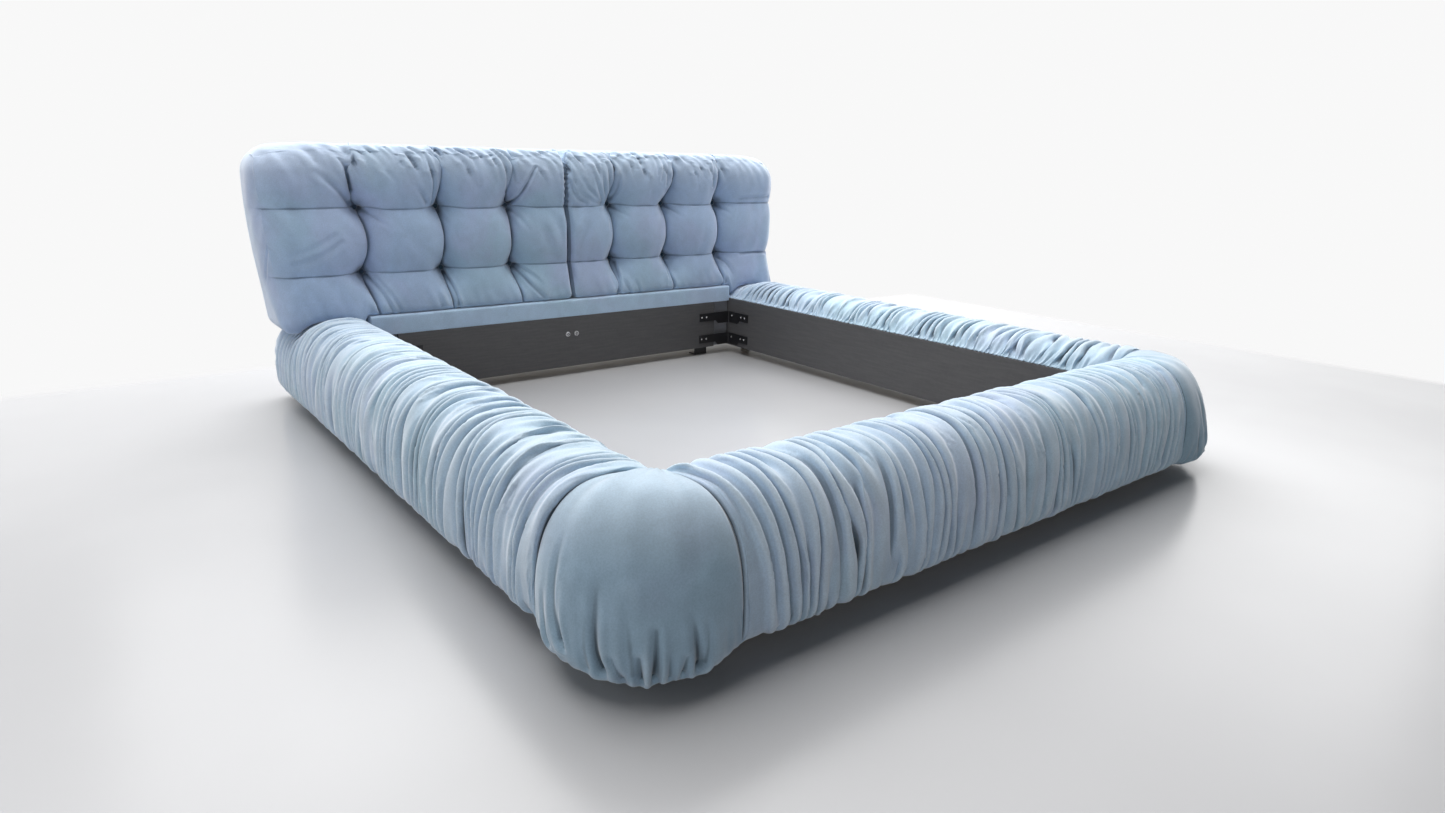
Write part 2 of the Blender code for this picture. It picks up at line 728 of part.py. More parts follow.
def tuft_depth(across, height):
    """How far the leather is drawn in at a place on the front: at folds, stitched lines and buttons."""
    depth = 0.0
    for column in BUTTON_COLUMNS.values():
        depth = max(depth, FOLD_LINE_DEPTH * fade(across - column, FOLD_LINE_WIDTH))
        for row in BUTTON_ROWS.values():
            beside = max(0.0, abs(across - column) - TUFT_SEAT)
            above = max(0.0, abs(height - row) - TUFT_SEAT)
            depth = max(depth, TUFT_DEPTH * fade(math.hypot(beside, above), TUFT_RADIUS))
    for row in BUTTON_ROWS.values():
        depth = max(depth, SEAM_LINE_DEPTH * fade(height - row, SEAM_LINE_WIDTH))
    return depth


def lean_at(height):
    share = (height - CUSHION_LOW) / (HEADBOARD_TOP - CUSHION_LOW)
    for row in BUTTON_ROWS.values():
        if abs(height - row) <= TUFT_SEAT + SEAT_GAP:
            share = (row - CUSHION_LOW) / (HEADBOARD_TOP - CUSHION_LOW)
    return CUSHION_LEAN * share


def hem_drop(across, height):
    """How far the lower edge reaches down where it lies over the side roll."""
    reach = across - WELL_HALF_WIDTH
    if reach <= 0:
        return 0.0
    crest = crest_height(max(reach, ROLL_REACH / 2), ROLL_TOP_AT_HEAD) + CUSHION_OVER_ROLL
    drop = min(CUSHION_HEM_DROP, max(0.0, CUSHION_LOW - crest))
    drop *= min(1, 2 * reach / ROLL_REACH)
    return drop * max(0.0, 1 - (height - CUSHION_LOW) / CUSHION_HEM_FADE)


def middles(places):
    return [(first + second) / 2 for first, second in zip(places, places[1:])]


def cushion_lines():
    """Where the cushion's cube is divided across, in depth and in height."""
    across = [CUSHION_SEAM_ROUND * share for share in SEAM_ROUND_SHARES]
    across += [HEADBOARD_HALF_WIDTH - CUSHION_END_ROUND * share for share in END_ROUND_SHARES]
    for column in BUTTON_COLUMNS.values():
        across += [column - TUFT_SEAT, column + TUFT_SEAT]
        across += [column - FOLD_LINE_WIDTH / 2, column + FOLD_LINE_WIDTH / 2]
    across += middles([0.0, *BUTTON_COLUMNS.values()])
    across += [WELL_HALF_WIDTH + ROLL_REACH * share for share in OVER_ROLL_SHARES]
    height = [CUSHION_LOW + CUSHION_LOW_ROUND * share for share in LOW_ROUND_SHARES]
    height += [HEADBOARD_TOP - CUSHION_TOP_ROUND * share for share in TOP_ROUND_SHARES]
    for row in BUTTON_ROWS.values():
        height += [row - TUFT_SEAT, row + TUFT_SEAT, row - SEAM_LINE_WIDTH / 2, row + SEAM_LINE_WIDTH / 2]
    height += middles(list(BUTTON_ROWS.values()))
    depth = [CUSHION_FRONT + CUSHION_END_ROUND * share for share in FRONT_ROUND_SHARES]
    depth.append(BACK_Y - CUSHION_BACK_ROUND)
    return across, depth, height


def rounded_point(point, low, high, low_round, high_round):
    """Moves a point of a box's surface onto the rounded box, with its own radius towards each side."""
    inner, offset, radius = [], [], []
    for value, start, end, first, last in zip(point, low, high, low_round, high_round):
        nearest = min(max(value, start + first), end - last)
        size = first if value < nearest else last
        inner.append(nearest)
        radius.append(size)
        offset.append((value - nearest) / size)
    length = math.sqrt(sum(share * share for share in offset))
    if length == 0:
        return Vector(point), offset
    scale = max(abs(share) for share in offset) / length
    offset = [share * scale for share in offset]
    return Vector(a + b * c for a, b, c in zip(inner, offset, radius)), offset


def end_spread(across, height):
    """How far the cushion's outer end widens towards its upper part."""
    column = BUTTON_COLUMNS["outer"]
    outward = max(0.0, (across - column) / (HEADBOARD_HALF_WIDTH - column))
    upward = (height - CUSHION_LOW) / (HEADBOARD_TOP - CUSHION_LOW)
    return CUSHION_SPREAD * outward * math.sin(math.pi * CUSHION_SPREAD_SHARE * min(1, upward))


def cushion_shape(sign):
    low = (CUSHION_PARTING, CUSHION_FRONT, CUSHION_LOW)
    high = (HEADBOARD_HALF_WIDTH, BACK_Y, HEADBOARD_TOP)
    low_round = (CUSHION_SEAM_ROUND, CUSHION_END_ROUND, CUSHION_LOW_ROUND)
    high_round = (CUSHION_END_ROUND, CUSHION_BACK_ROUND, CUSHION_TOP_ROUND)
    bm = box(low, high)
    for axis, places in enumerate(cushion_lines()):
        normal = Vector([float(axis == i) for i in range(3)])
        for place in places:
            everything = bm.verts[:] + bm.edges[:] + bm.faces[:]
            bmesh.ops.bisect_plane(bm, geom=everything, plane_co=normal * place, plane_no=normal)
    for vertex in bm.verts:
        across, _, height = vertex.co
        point, offset = rounded_point(vertex.co, low, high, low_round, high_round)
        front = max(0.0, -offset[1])
        back = max(0.0, offset[1])
        point.y += front * tuft_depth(across, height) + (1 - back) * lean_at(height) * front
        point.x += end_spread(across, height)
        point.z -= hem_drop(point.x, height)
        vertex.co = (sign * point.x, point.y, point.z)
    rear = BACK_Y - SEAT_GAP
    back_faces = [face for face in bm.faces if min(vertex.co.y for vertex in face.verts) > rear]
    bmesh.ops.dissolve_faces(bm, faces=back_faces)
    return bm


def cavity_box(sign, slack, front, back):
    """The space for foam and back board in a cushion, or what fills it when slack is positive."""
    near = CUSHION_SEAM_ROUND + CAVITY_MARGIN + slack
    far = HEADBOARD_HALF_WIDTH - CUSHION_END_ROUND - CAVITY_MARGIN - slack
    low = (sign * near, front, CUSHION_LOW + CAVITY_LOW_MARGIN + slack)
    high = (sign * far, back, HEADBOARD_TOP - CUSHION_TOP_ROUND - slack)
    return box(low, high)


def tuft_button(name, x, height):
    """A leather covered button, domed to the front, lying in the bottom of its tuft."""
    thick, rim, radius = BUTTON_THICKNESS, BUTTON_RIM, BUTTON_RADIUS
    profile = [(0.0, thick)]
    for angle in spread(math.pi / 2, 0.0, BUTTON_DOME_STEPS)[1:]:
        profile.append((radius * math.cos(angle), rim + (thick - rim) * math.sin(angle)))
    profile += [(BUTTON_BACK_RADIUS, 0.0), (0.0, 0.0)]
    button = turned(name, profile, "button", BUTTON_STEPS)
    button.location = (x, CUSHION_FRONT + lean_at(height) + TUFT_DEPTH - SEAT_GAP, height)
    button.rotation_euler = (math.pi / 2, 0, 0)


def headboard_half(side, sign):
    cushion = add_part(f"headboard_{side}", cushion_shape(sign), "leather", smooth=True)
    cavity_front = CUSHION_FRONT + CAVITY_FRONT
    board_back = BACK_Y - BACK_BOARD_SINK
    board_front = board_back - BACK_BOARD_THICKNESS
    cavity = cavity_box(sign, 0.0, cavity_front, BACK_Y + CUT_OVERRUN)
    cut(cushion, add_cutter(f"headboard_cavity_{side}", cavity))
    foam = cavity_box(sign, SOFT_GAP, cavity_front + SOFT_GAP, board_front - SEAT_GAP)
    add_part(f"headboard_foam_{side}", foam, "foam")
    board = cavity_box(sign, SEAT_GAP, board_front, board_back)
    add_part(f"headboard_back_{side}", board, "timber")
    for row, height in BUTTON_ROWS.items():
        for column, across in BUTTON_COLUMNS.items():
            tuft_button(f"tuft_button_{side}_{row}_{column}", sign * across, height)
    for place, across in POST_PLACES.items():
        post_x = sign * across - POST_WIDTH / 2
        post_y = BACK_Y + SEAT_GAP
        post_high = (post_x + POST_WIDTH, post_y + POST_THICKNESS, HEADBOARD_TOP - POST_TOP_DROP)
        post = box((post_x, post_y, POST_BOTTOM), post_high)
        post = add_part(f"headboard_post_{side}_{place}", post, "black_steel")
        bevel(post, POST_EDGE)


# Corner brackets and feet


def bracket_height(distance):
    """A bracket is deeper round its bend, and slopes to a lower strip along each leg."""
    share = min(1, max(0.0, (distance - BRACKET_MID_REACH) / BRACKET_SLOPE))
    return BRACKET_MID_HEIGHT + (BRACKET_END_HEIGHT - BRACKET_MID_HEIGHT) * share


def bracket_path():
    """Points and outward normals along the bracket's mounting face, from one leg's end to the other's."""
    marks = [BRACKET_MID_REACH, BRACKET_MID_REACH + BRACKET_SLOPE]
    path = []
    for distance in (BRACKET_END_LEG, *reversed(marks), BRACKET_BEND):
        path.append(((-distance, 0.0), (0.0, -1.0), distance))
    for angle in spread(0.0, math.pi / 2, BRACKET_BEND_STEPS)[1:-1]:
        normal = (-math.sin(angle), -math.cos(angle))
        point = (-BRACKET_BEND - BRACKET_BEND * normal[0], -BRACKET_BEND - BRACKET_BEND * normal[1])
        path.append(((point[0], point[1]), normal, BRACKET_BEND))
    for distance in (BRACKET_BEND, *marks, BRACKET_SIDE_LEG):
        path.append(((0.0, -distance), (-1.0, 0.0), distance))
    return path


def corner_bracket(name, sign, end_y, end_sign, top):
    """A bent steel plate in a corner of the well, flat on the end board and on the side board."""
    corner = Vector((WELL_HALF_WIDTH - SEAT_GAP, -SEAT_GAP))
    rings = []
    for point, normal, distance in bracket_path():
        near = corner + Vector(point)
        far = near + Vector(normal) * BRACKET_THICKNESS
        low = top - bracket_height(distance)
        ring = [(near, top), (far, top), (far, low), (near, low)]
        rings.append([(sign * plan.x, end_y + end_sign * plan.y, height) for plan, height in ring])
    add_part(name, loft(rings), "black_steel")


def corner_brackets():
    for end, end_y, end_sign in (("head", HEAD_Y, 1), ("foot", FOOT_Y, -1)):
        for side, sign in SIDES.items():
            for level, top in BRACKET_TOPS.items():
                corner_bracket(f"bracket_{end}_{side}_{level}", sign, end_y, end_sign, top)


def foot(name, x, y):
    """A turned foot under a bottom board."""
    top = BOARD_BOTTOM - SEAT_GAP
    profile = [(0.0, top), (FOOT_RADIUS, top), (FOOT_RADIUS, FOOT_CHAMFER)]
    profile += [(FOOT_RADIUS - FOOT_CHAMFER, 0.0), (0.0, 0.0)]
    turned(name, profile, "plastic", FOOT_STEPS).location = (x, y, 0.0)


def feet():
    for side, sign in SIDES.items():
        x = sign * (WELL_HALF_WIDTH + FOOT_REACH)
        for place, from_head in SIDE_FOOT_PLACES.items():
            foot(f"side_foot_{side}_{place}", x, HEAD_Y + FOOT_REACH - from_head)
        foot(f"foot_foot_{side}", sign * FOOT_RAIL_PLACE, FOOT_Y - FOOT_REACH)


for side, sign in SIDES.items():
    side_unit(side, sign)
    headboard_half(side, sign)
foot_unit()
head_rail()
corner_brackets()
feet()
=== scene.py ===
"""Looks of the leather bed: ruched nubuck rolls, smooth sewn corners and a deeply tufted headboard.

The leather is cut longer than the form that it covers. A small seeded cloth solver, written here with
numpy, lets it buckle into folds. Each settled sheet is then subdivided once, and its fine creases are
pressed in. Metres, in the CAD's frame: X across the bed, +Y towards the head, +Z up.
"""

import json
import math

import bpy
import numpy as np
from mathutils import Matrix, Vector


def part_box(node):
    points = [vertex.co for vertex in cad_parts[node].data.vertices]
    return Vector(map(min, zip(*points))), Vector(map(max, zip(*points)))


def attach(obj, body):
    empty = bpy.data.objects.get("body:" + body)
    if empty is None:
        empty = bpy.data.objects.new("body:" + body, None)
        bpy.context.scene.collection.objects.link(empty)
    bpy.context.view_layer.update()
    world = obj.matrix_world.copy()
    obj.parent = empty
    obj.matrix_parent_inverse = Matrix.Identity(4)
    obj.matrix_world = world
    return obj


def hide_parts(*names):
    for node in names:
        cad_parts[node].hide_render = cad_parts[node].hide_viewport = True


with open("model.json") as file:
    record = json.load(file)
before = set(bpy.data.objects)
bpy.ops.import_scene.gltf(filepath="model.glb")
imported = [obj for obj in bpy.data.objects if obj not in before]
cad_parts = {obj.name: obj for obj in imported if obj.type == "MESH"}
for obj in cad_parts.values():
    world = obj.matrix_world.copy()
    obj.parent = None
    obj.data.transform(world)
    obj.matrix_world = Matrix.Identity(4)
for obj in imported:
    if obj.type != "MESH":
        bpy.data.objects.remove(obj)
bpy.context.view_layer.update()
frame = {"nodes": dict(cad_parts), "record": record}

SIDES = (("left", -1), ("right", 1))

# Kept in divisors that can be nought, and the play when places are compared
TINY = 1e-9
TINIEST = 1e-12
ROUNDING = 1e-6

# Sizes read from the frame
WELL_HALF_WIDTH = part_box("side_board_right")[0][0]
BOARD_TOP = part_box("side_board_right")[1][2]
HEAD_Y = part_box("head_board")[0][1]
FOOT_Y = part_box("foot_board")[1][1]
BACK_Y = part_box("head_rail_cover")[1][1]
ROLL_END_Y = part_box("side_roll_right")[1][1]
RAIL_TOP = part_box("head_rail_cover")[1][2]
RAIL_HALF_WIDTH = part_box("head_rail_cover")[1][0]
HEAD_BOARD_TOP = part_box("head_board")[1][2]
HEADBOARD_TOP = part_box("headboard_right")[1][2]
BASE_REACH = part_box("side_base_right")[1][0] - WELL_HALF_WIDTH

# Roll section, as the CAD has it
ROLL_REACH = 0.316
ROLL_TOP = 0.376
ROLL_TOP_AT_HEAD = 0.346
ROLL_BOTTOM = 0.046
ROLL_WAIST = 0.145
INNER_FULLNESS = 3.1
UPPER_FULLNESS = 2.35
LOWER_FULLNESS = 5.0
ROLL_END_ROUND = 0.085
HEAD_DIP_LENGTH = 0.150
CORNER_PIVOT = 0.046
SEAM_GAP = 0.0006
LIP_REACH = 0.004
TUCK = 0.010
BOARD_THICKNESS = 0.018

# Headboard cushions, as the CAD has them
CLOSE_GAP = 0.0003
CUSHION_FRONT = HEAD_Y + 0.005
CUSHION_BACK = BACK_Y - CLOSE_GAP
CUSHION_LOW = RAIL_TOP + CLOSE_GAP
CUSHION_HALF_WIDTH = 1.242
CUSHION_PARTING = 0.0005
CUSHION_LEAN = 0.045
CUSHION_SPREAD = 0.040
CUSHION_SPREAD_SHARE = 0.7
CUSHION_HEM_DROP = 0.046
CUSHION_HEM_FADE = 0.120
BUTTON_COLUMNS = (0.262, 0.576, 0.905)
BUTTON_ROWS = (RAIL_TOP + 0.167, HEADBOARD_TOP - 0.243)
TUFT_DEPTH = 0.115

# Places along a side roll, from its seam at the corner patch
CORNER_Y = FOOT_Y - CORNER_PIVOT
TO_HEAD = HEAD_Y - CORNER_Y
SIDE_STRAIGHT = ROLL_END_Y - ROLL_END_ROUND - CORNER_Y

SEEDS = {
    "side_folds": 3,
    "foot_folds": 9,
    "edge_folds": 100,
    "end_pleats": 20,
    "side_wrinkles": 200,
    "foot_wrinkles": 210,
    "corner_gathers": 40,
    "corner_soft": 50,
    "cushion_pleats": 70,
    "cushion_soft": 90,
    "top_gathers": 300,
    "gather_patches": 310,
    "parting_puckers": 320,
    "rail_waves": 5,
    "buttons": 12,
}


# Curves of change


def smoothstep(share):
    share = np.clip(share, 0, 1)
    return share * share * (3 - 2 * share)


def grown(value, stretch):
    """From nothing to one over a stretch, which is the place where it starts and its length."""
    start, length = stretch
    return smoothstep((value - start) / length)


def fall(value, width):
    """One at nought, falling evenly to nothing at the width."""
    return np.clip(1 - value / width, 0, 1)


def bell(value, width):
    """One at nought, fading out softly to both sides."""
    return np.exp(-((value / width) ** 2))


def at_least(least, share):
    return least + (1 - least) * share


def lengths(vectors):
    return np.sqrt((vectors * vectors).sum(-1))


# Noises. A grain is the width of its ridges, from crest to crest, and about their length

NOISE_CELL = 0.006
NOISE_SIZE = 1.9
NOISE_SHIFT = 1.5
NOISE_SPREAD = 0.4


def band_noise(shape, pitch, grain, spread, seed):
    """Random ridges that run along the second axis."""
    wave, length = grain
    rows, columns = shape[0] + shape[0] % 2, 2 * shape[1]
    white = np.random.default_rng(seed).standard_normal((rows, columns))
    across = np.abs(np.fft.fftfreq(rows, pitch[0]))[:, None]
    along = np.fft.fftfreq(columns, pitch[1])[None]
    passed = np.exp(-(((across * wave - 1) / spread) ** 2) - (along * length) ** 2)
    noise = np.real(np.fft.ifft2(np.fft.fft2(white) * passed))[: shape[0], : shape[1]]
    return noise / noise.std()


def sampled_noise(first, second, grain, seed, turn=0.0):
    """Band noise read at places of a sheet, with ridges that run along second, or turned from there."""
    cells = round(NOISE_SIZE / NOISE_CELL)
    noise = band_noise((cells, cells), (NOISE_CELL, NOISE_CELL), grain, NOISE_SPREAD, seed)
    across = first * math.cos(turn) - second * math.sin(turn)
    along = first * math.sin(turn) + second * math.cos(turn)
    column = ((across + NOISE_SHIFT) / NOISE_CELL).astype(int) % cells
    row = ((along + NOISE_SHIFT) / NOISE_CELL).astype(int) % cells
    return noise[column, row]


# Cloth solver

KEPT_SPEED = 0.9


def pull(points, first, second, rest, strength):
    """Moves linked points towards their length at rest."""
    apart = points[second] - points[first]
    length = np.sqrt((apart * apart).sum(-1)) + TINY
    move = (0.5 * strength * (length - rest) / length)[..., None] * apart
    points[first] += move
    points[second] -= move


def unbend(points, first, middle, last, curve, strength):
    """Straightens three points in a row towards their curve at rest."""
    bend = (points[first] + points[last] - 2 * points[middle] - curve) * strength
    points[middle] += bend * 0.5
    points[first] -= bend * 0.25
    points[last] -= bend * 0.25


def keep_order(points, first, second, along, least):
    """Stops a fold from passing through its neighbour."""
    lack = np.minimum(((points[second] - points[first]) * along).sum(-1) - least, 0)
    move = (lack * 0.5)[..., None] * along
    points[first] += move
    points[second] -= move


def settle(cloth, steps, hold):
    """Lets the leather buckle. hold draws each point to the height above its form that it started with."""
    base, normal = cloth["base"], cloth["normal"]
    points = base + normal * cloth["height"][..., None]
    still = cloth["pinned"]
    pinned = points[still].copy()
    before = points.copy()
    for _ in range(steps):
        drift = (points - before) * KEPT_SPEED
        before[...] = points
        points += drift
        rise = ((points - base) * normal).sum(-1)
        points += normal * (hold * (cloth["height"] - rise))[..., None]
        for link in cloth["links"]:
            pull(points, *link)
        for bend in cloth["bends"]:
            unbend(points, *bend)
        rise = ((points - base) * normal).sum(-1)
        points += normal * (np.clip(rise, cloth["lowest"], cloth["highest"]) - rise)[..., None]
        for order in cloth["orders"]:
            keep_order(points, *order)
        points[still] = pinned
    rise = ((points - base) * normal).sum(-1)
    return points, rise


# Sheets of leather on a grid, as the rolls and corners have

FOLD_STIFFNESS = 0.05
ROUND_STIFFNESS = 0.30
ROUND_PULL = 0.6
ROUND_CUT = 0.995
SHEAR = 0.20
LEAST_SPACING = 0.12


def grid_normals(base, outward):
    """Unit normals of a grid of points, turned to the side that outward points to."""
    along, round_it = np.gradient(base, axis=0), np.gradient(base, axis=1)
    normal = np.cross(along, round_it)
    normal /= lengths(normal)[..., None] + TINIEST
    return -normal if (normal * outward).sum() < 0 else normal


def every_other(start, count, axis):
    """Slices of the first and second points of every other link along a grid's axis."""
    pairs = (count - start) // 2
    first = slice(start, start + 2 * pairs - 1, 2)
    second = slice(start + 1, start + 2 * pairs, 2)
    if axis == 0:
        return (first, slice(None)), (second, slice(None))
    return (slice(None), first), (slice(None), second)


def grid_links(rest_along, rest_round):
    """Links along both axes and across the quads, in sets that share no point."""
    links = []
    for axis, rest, strength in ((0, rest_along, 1.0), (1, rest_round, ROUND_PULL)):
        for start in (0, 1):
            first, second = every_other(start, rest.shape[axis] + 1, axis)
            links.append((first, second, rest[first], strength))
    middle_along = (rest_along[:, 1:] + rest_along[:, :-1]) / 2
    middle_round = (rest_round[1:] + rest_round[:-1]) / 2
    slant = np.hypot(middle_along, middle_round)
    ahead, behind = slice(1, None), slice(None, -1)
    for start in (0, 1):
        (first, _), (second, _) = every_other(start, len(rest_along) + 1, 0)
        links.append(((first, behind), (second, ahead), slant[first], SHEAR))
        links.append(((first, ahead), (second, behind), slant[first], SHEAR))
    return links


def grid_cloth(base, outward, gather, height, lowest, highest):
    """A cloth on a grid: gather is how much longer than its form it is cut along the first axis."""
    base = base.astype(np.float32)
    step_along = np.diff(base, axis=0)
    size = lengths(step_along)
    rest_along = (size * gather).astype(np.float32)
    rest_round = (lengths(np.diff(base, axis=1)) * ROUND_CUT).astype(np.float32)
    low, mid, high, every = slice(None, -2), slice(1, -1), slice(2, None), slice(None)
    curve = base[:, low] + base[:, high] - 2 * base[:, mid]
    bends = [((low, every), (mid, every), (high, every), 0.0, FOLD_STIFFNESS)]
    bends.append(((every, low), (every, mid), (every, high), curve, ROUND_STIFFNESS))
    along = step_along / (size[..., None] + TINY)
    neighbours = (slice(None, -1), every), (slice(1, None), every)
    pinned = np.zeros(base.shape[:2], bool)
    pinned[[0, -1]] = True
    pinned[:, [0, -1]] = True
    return {
        "base": base,
        "normal": grid_normals(base, outward).astype(np.float32),
        "height": height.astype(np.float32),
        "lowest": lowest,
        "highest": highest,
        "links": grid_links(rest_along, rest_round),
        "bends": bends,
        "orders": [(*neighbours, along, LEAST_SPACING * size)],
        "pinned": pinned,
    }


def grid_quads(rows, columns, flip):
    number = np.arange(rows * columns).reshape(rows, columns)
    quads = np.stack([number[:-1, :-1], number[1:, :-1], number[1:, 1:], number[:-1, 1:]], -1).reshape(-1, 4)
    return quads[:, ::-1] if flip else quads


# Shown pieces. Their "ridge" layer is the height of the folds, lowered further where shade is painted, which
# the leather's material reads

TANGLE_LIMIT = 0.0042
TANGLE_STEPS = 24
TANGLE_RINGS = 2
SOFT_STEPS = 12


def write_layer(mesh, name, values):
    layer = mesh.attributes.get(name) or mesh.attributes.new(name, "FLOAT", "POINT")
    layer.data.foreach_set("value", values.ravel().astype(np.float32))


def read_layer(mesh, name):
    values = np.empty(len(mesh.vertices), np.float32)
    mesh.attributes[name].data.foreach_get("value", values)
    return values


def read_vectors(items, name):
    values = np.empty(3 * len(items), np.float32)
    items.foreach_get(name, values)
    return values.reshape(-1, 3)


def place_points(mesh, points):
    mesh.vertices.foreach_set("co", np.ascontiguousarray(points).ravel())
    mesh.update()


def mesh_piece(name, points, faces, materials, ridge=None):
    """A shown piece from numpy points and faces."""
    mesh = bpy.data.meshes.new(name)
    mesh.from_pydata(points.reshape(-1, 3).tolist(), [], [list(face) for face in faces])
    if ridge is not None:
        write_layer(mesh, "ridge", ridge)
    piece = bpy.data.objects.new(name, mesh)
    bpy.context.scene.collection.objects.link(piece)
    for material in materials:
        mesh.materials.append(material)
    mesh.shade_smooth()
    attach(piece, "root")
    return piece


def smoothed(piece):
    """Gives the piece its smooth mesh with four times the faces, and returns that mesh."""
    piece.modifiers.new("smooth", "SUBSURF").levels = 1
    graph = bpy.context.evaluated_depsgraph_get()
    mesh = bpy.data.meshes.new_from_object(piece.evaluated_get(graph))
    piece.modifiers.clear()
    piece.data = mesh
    return mesh


def press(mesh, rise):
    """Moves the mesh's points out along their normals by rise, and adds it to their fold heights."""
    points = read_vectors(mesh.vertices, "co")
    points += read_vectors(mesh.vertex_normals, "vector") * rise[:, None]
    place_points(mesh, points)
    write_layer(mesh, "ridge", read_layer(mesh, "ridge") + rise)


def shade(mesh, depth):
    """Paints shade into the leather's colour, as if it lay deeper, without moving it."""
    write_layer(mesh, "ridge", read_layer(mesh, "ridge") - depth)


def untangle(mesh, soft):
    """Relaxes the few points that stand far off their neighbours' middle, and all soft ones at first."""
    count = len(mesh.vertices)
    edges = np.empty(2 * len(mesh.edges), np.int32)
    mesh.edges.foreach_get("vertices", edges)
    edges = edges.reshape(-1, 2)
    near, far = np.concatenate([edges, edges[:, ::-1]]).T
    links = np.bincount(near, minlength=count)
    values = np.concatenate([read_vectors(mesh.vertices, "co"), read_layer(mesh, "ridge")[:, None]], axis=1)
    for step in range(TANGLE_STEPS):
        sums = [np.bincount(near, column[far], count) for column in values.T]
        mean = np.stack(sums, axis=1) / links[:, None]
        crossed = lengths((mean - values)[:, :3]) > TANGLE_LIMIT
        for _ in range(TANGLE_RINGS):
            crossed |= np.bincount(near, crossed[far], count) > 0
        if step < SOFT_STEPS:
            crossed |= soft
        values[crossed] = mean[crossed]
    place_points(mesh, values[:, :3])
    write_layer(mesh, "ridge", values[:, 3])


# Creases pressed into a sheet. Each is a row (line, width, depth at its start, depth at its end)

CREASE_REACH = 4
RIDGE_HEIGHT_SHARE = 0.35
RIDGE_PLACE_SHARE = 2.0


def rounded_line(line):
    """A polyline whose corners are cut off at a quarter, twice."""
    line = np.array(line, float)
    for _ in range(2):
        first, second = line[:-1], line[1:]
        cut = np.stack([0.75 * first + 0.25 * second, 0.25 * first + 0.75 * second], axis=1).reshape(-1, 2)
        line = np.concatenate([line[:1], cut, line[-1:]])
    return line


def creased(first, second, creases):
    """Rise of a sheet with creases in it, each with a low ridge along both sides."""
    total = np.zeros_like(first)
    for line, width, depth_from, depth_to in creases:
        line = rounded_line(line)
        low, high = line.min(axis=0) - CREASE_REACH * width, line.max(axis=0) + CREASE_REACH * width
        inside = (first > low[0]) & (first < high[0]) & (second > low[1]) & (second < high[1])
        near = np.flatnonzero(inside)
        place = np.stack([first[near], second[near]], axis=-1)
        steps = np.hypot(*np.diff(line, axis=0).T)
        walked = np.concatenate([[0], np.cumsum(steps)]) / steps.sum()
        away, share = np.full(len(near), np.inf), np.zeros(len(near))
        for index, step in enumerate(steps):
            along = (line[index + 1] - line[index]) / (step + TINY)
            reached = np.clip((place - line[index]) @ along, 0, step)
            gap = lengths(place - line[index] - reached[:, None] * along)
            at = walked[index] + (walked[index + 1] - walked[index]) * reached / (step + TINY)
            share = np.where(gap < away, at, share)
            away = np.minimum(gap, away)
        depth = depth_from + (depth_to - depth_from) * share
        ridge = RIDGE_HEIGHT_SHARE * np.exp(-((away / width - RIDGE_PLACE_SHARE) ** 2))
        total[near] += depth * (ridge - bell(away, width))
    return total


# Roll section

SKIN_FROM = math.radians(178)
SKIN_TO = math.radians(-88)
SKIN_FINE_POINTS = 1500
SKIN_POINTS = 84
SKIN_SMOOTHINGS = 3
SKIN_TUCK = TUCK * 1.5
LIP_CLEARANCE = 0.005
FOLD_STEP = 0.005


def signed_power(value, power):
    return np.sign(value) * np.abs(value) ** power


def skin_curve(top):
    """Reach and height of the roll's skin, evenly spaced, from its lip over the crest to the tuck below."""
    angle = np.linspace(SKIN_FROM, SKIN_TO, SKIN_FINE_POINTS)
    across, up = np.cos(angle), np.sin(angle)
    fullness = np.where(across < 0, INNER_FULLNESS, np.where(up >= 0, UPPER_FULLNESS, LOWER_FULLNESS))
    half = ROLL_REACH / 2
    reach = half + half * signed_power(across, 2 / fullness)
    rise = np.where(up >= 0, top - ROLL_WAIST, ROLL_WAIST - ROLL_BOTTOM)
    height = ROLL_WAIST + rise * signed_power(up, 2 / fullness)
    foot_reach = BASE_REACH + SKIN_TUCK
    shown = ~((height < BOARD_TOP + LIP_CLEARANCE) & (reach < half))
    shown &= ~((reach < foot_reach) & (height < ROLL_WAIST))
    reach = np.concatenate([[LIP_REACH], reach[shown], [foot_reach]])
    height = np.concatenate([[BOARD_TOP + SEAM_GAP], height[shown], [ROLL_BOTTOM]])
    walked = np.concatenate([[0], np.cumsum(np.hypot(np.diff(reach), np.diff(height)))])
    even = np.linspace(0, walked[-1], SKIN_POINTS)
    reach, height = np.interp(even, walked, reach), np.interp(even, walked, height)
    for _ in range(SKIN_SMOOTHINGS):
        for values in (reach, height):
            values[1:-1] = (values[:-2] + 2 * values[1:-1] + values[2:]) / 4
    return reach, height


def skin_normal(reach, height):
    """Outward unit normal of the section, as its parts along reach and height."""
    along_reach, along_height = np.gradient(reach), np.gradient(height)
    size = np.hypot(along_reach, along_height)
    return -along_height / size, along_reach / size


SKIN_REACH, SKIN_HEIGHT = skin_curve(ROLL_TOP)
SKIN_REACH_AT_HEAD, SKIN_HEIGHT_AT_HEAD = skin_curve(ROLL_TOP_AT_HEAD)
NORMAL_REACH, NORMAL_HEIGHT = skin_normal(SKIN_REACH, SKIN_HEIGHT)
SKIN_PITCH = float(np.hypot(np.diff(SKIN_REACH), np.diff(SKIN_HEIGHT)).mean())
SHARE_ROUND = np.linspace(0, 1, SKIN_POINTS)


# Seams between rolls and corner patches: how far each is drawn in, and how far it bows along its roll.
# Places are shares of the way round the skin, from the lip to the tuck

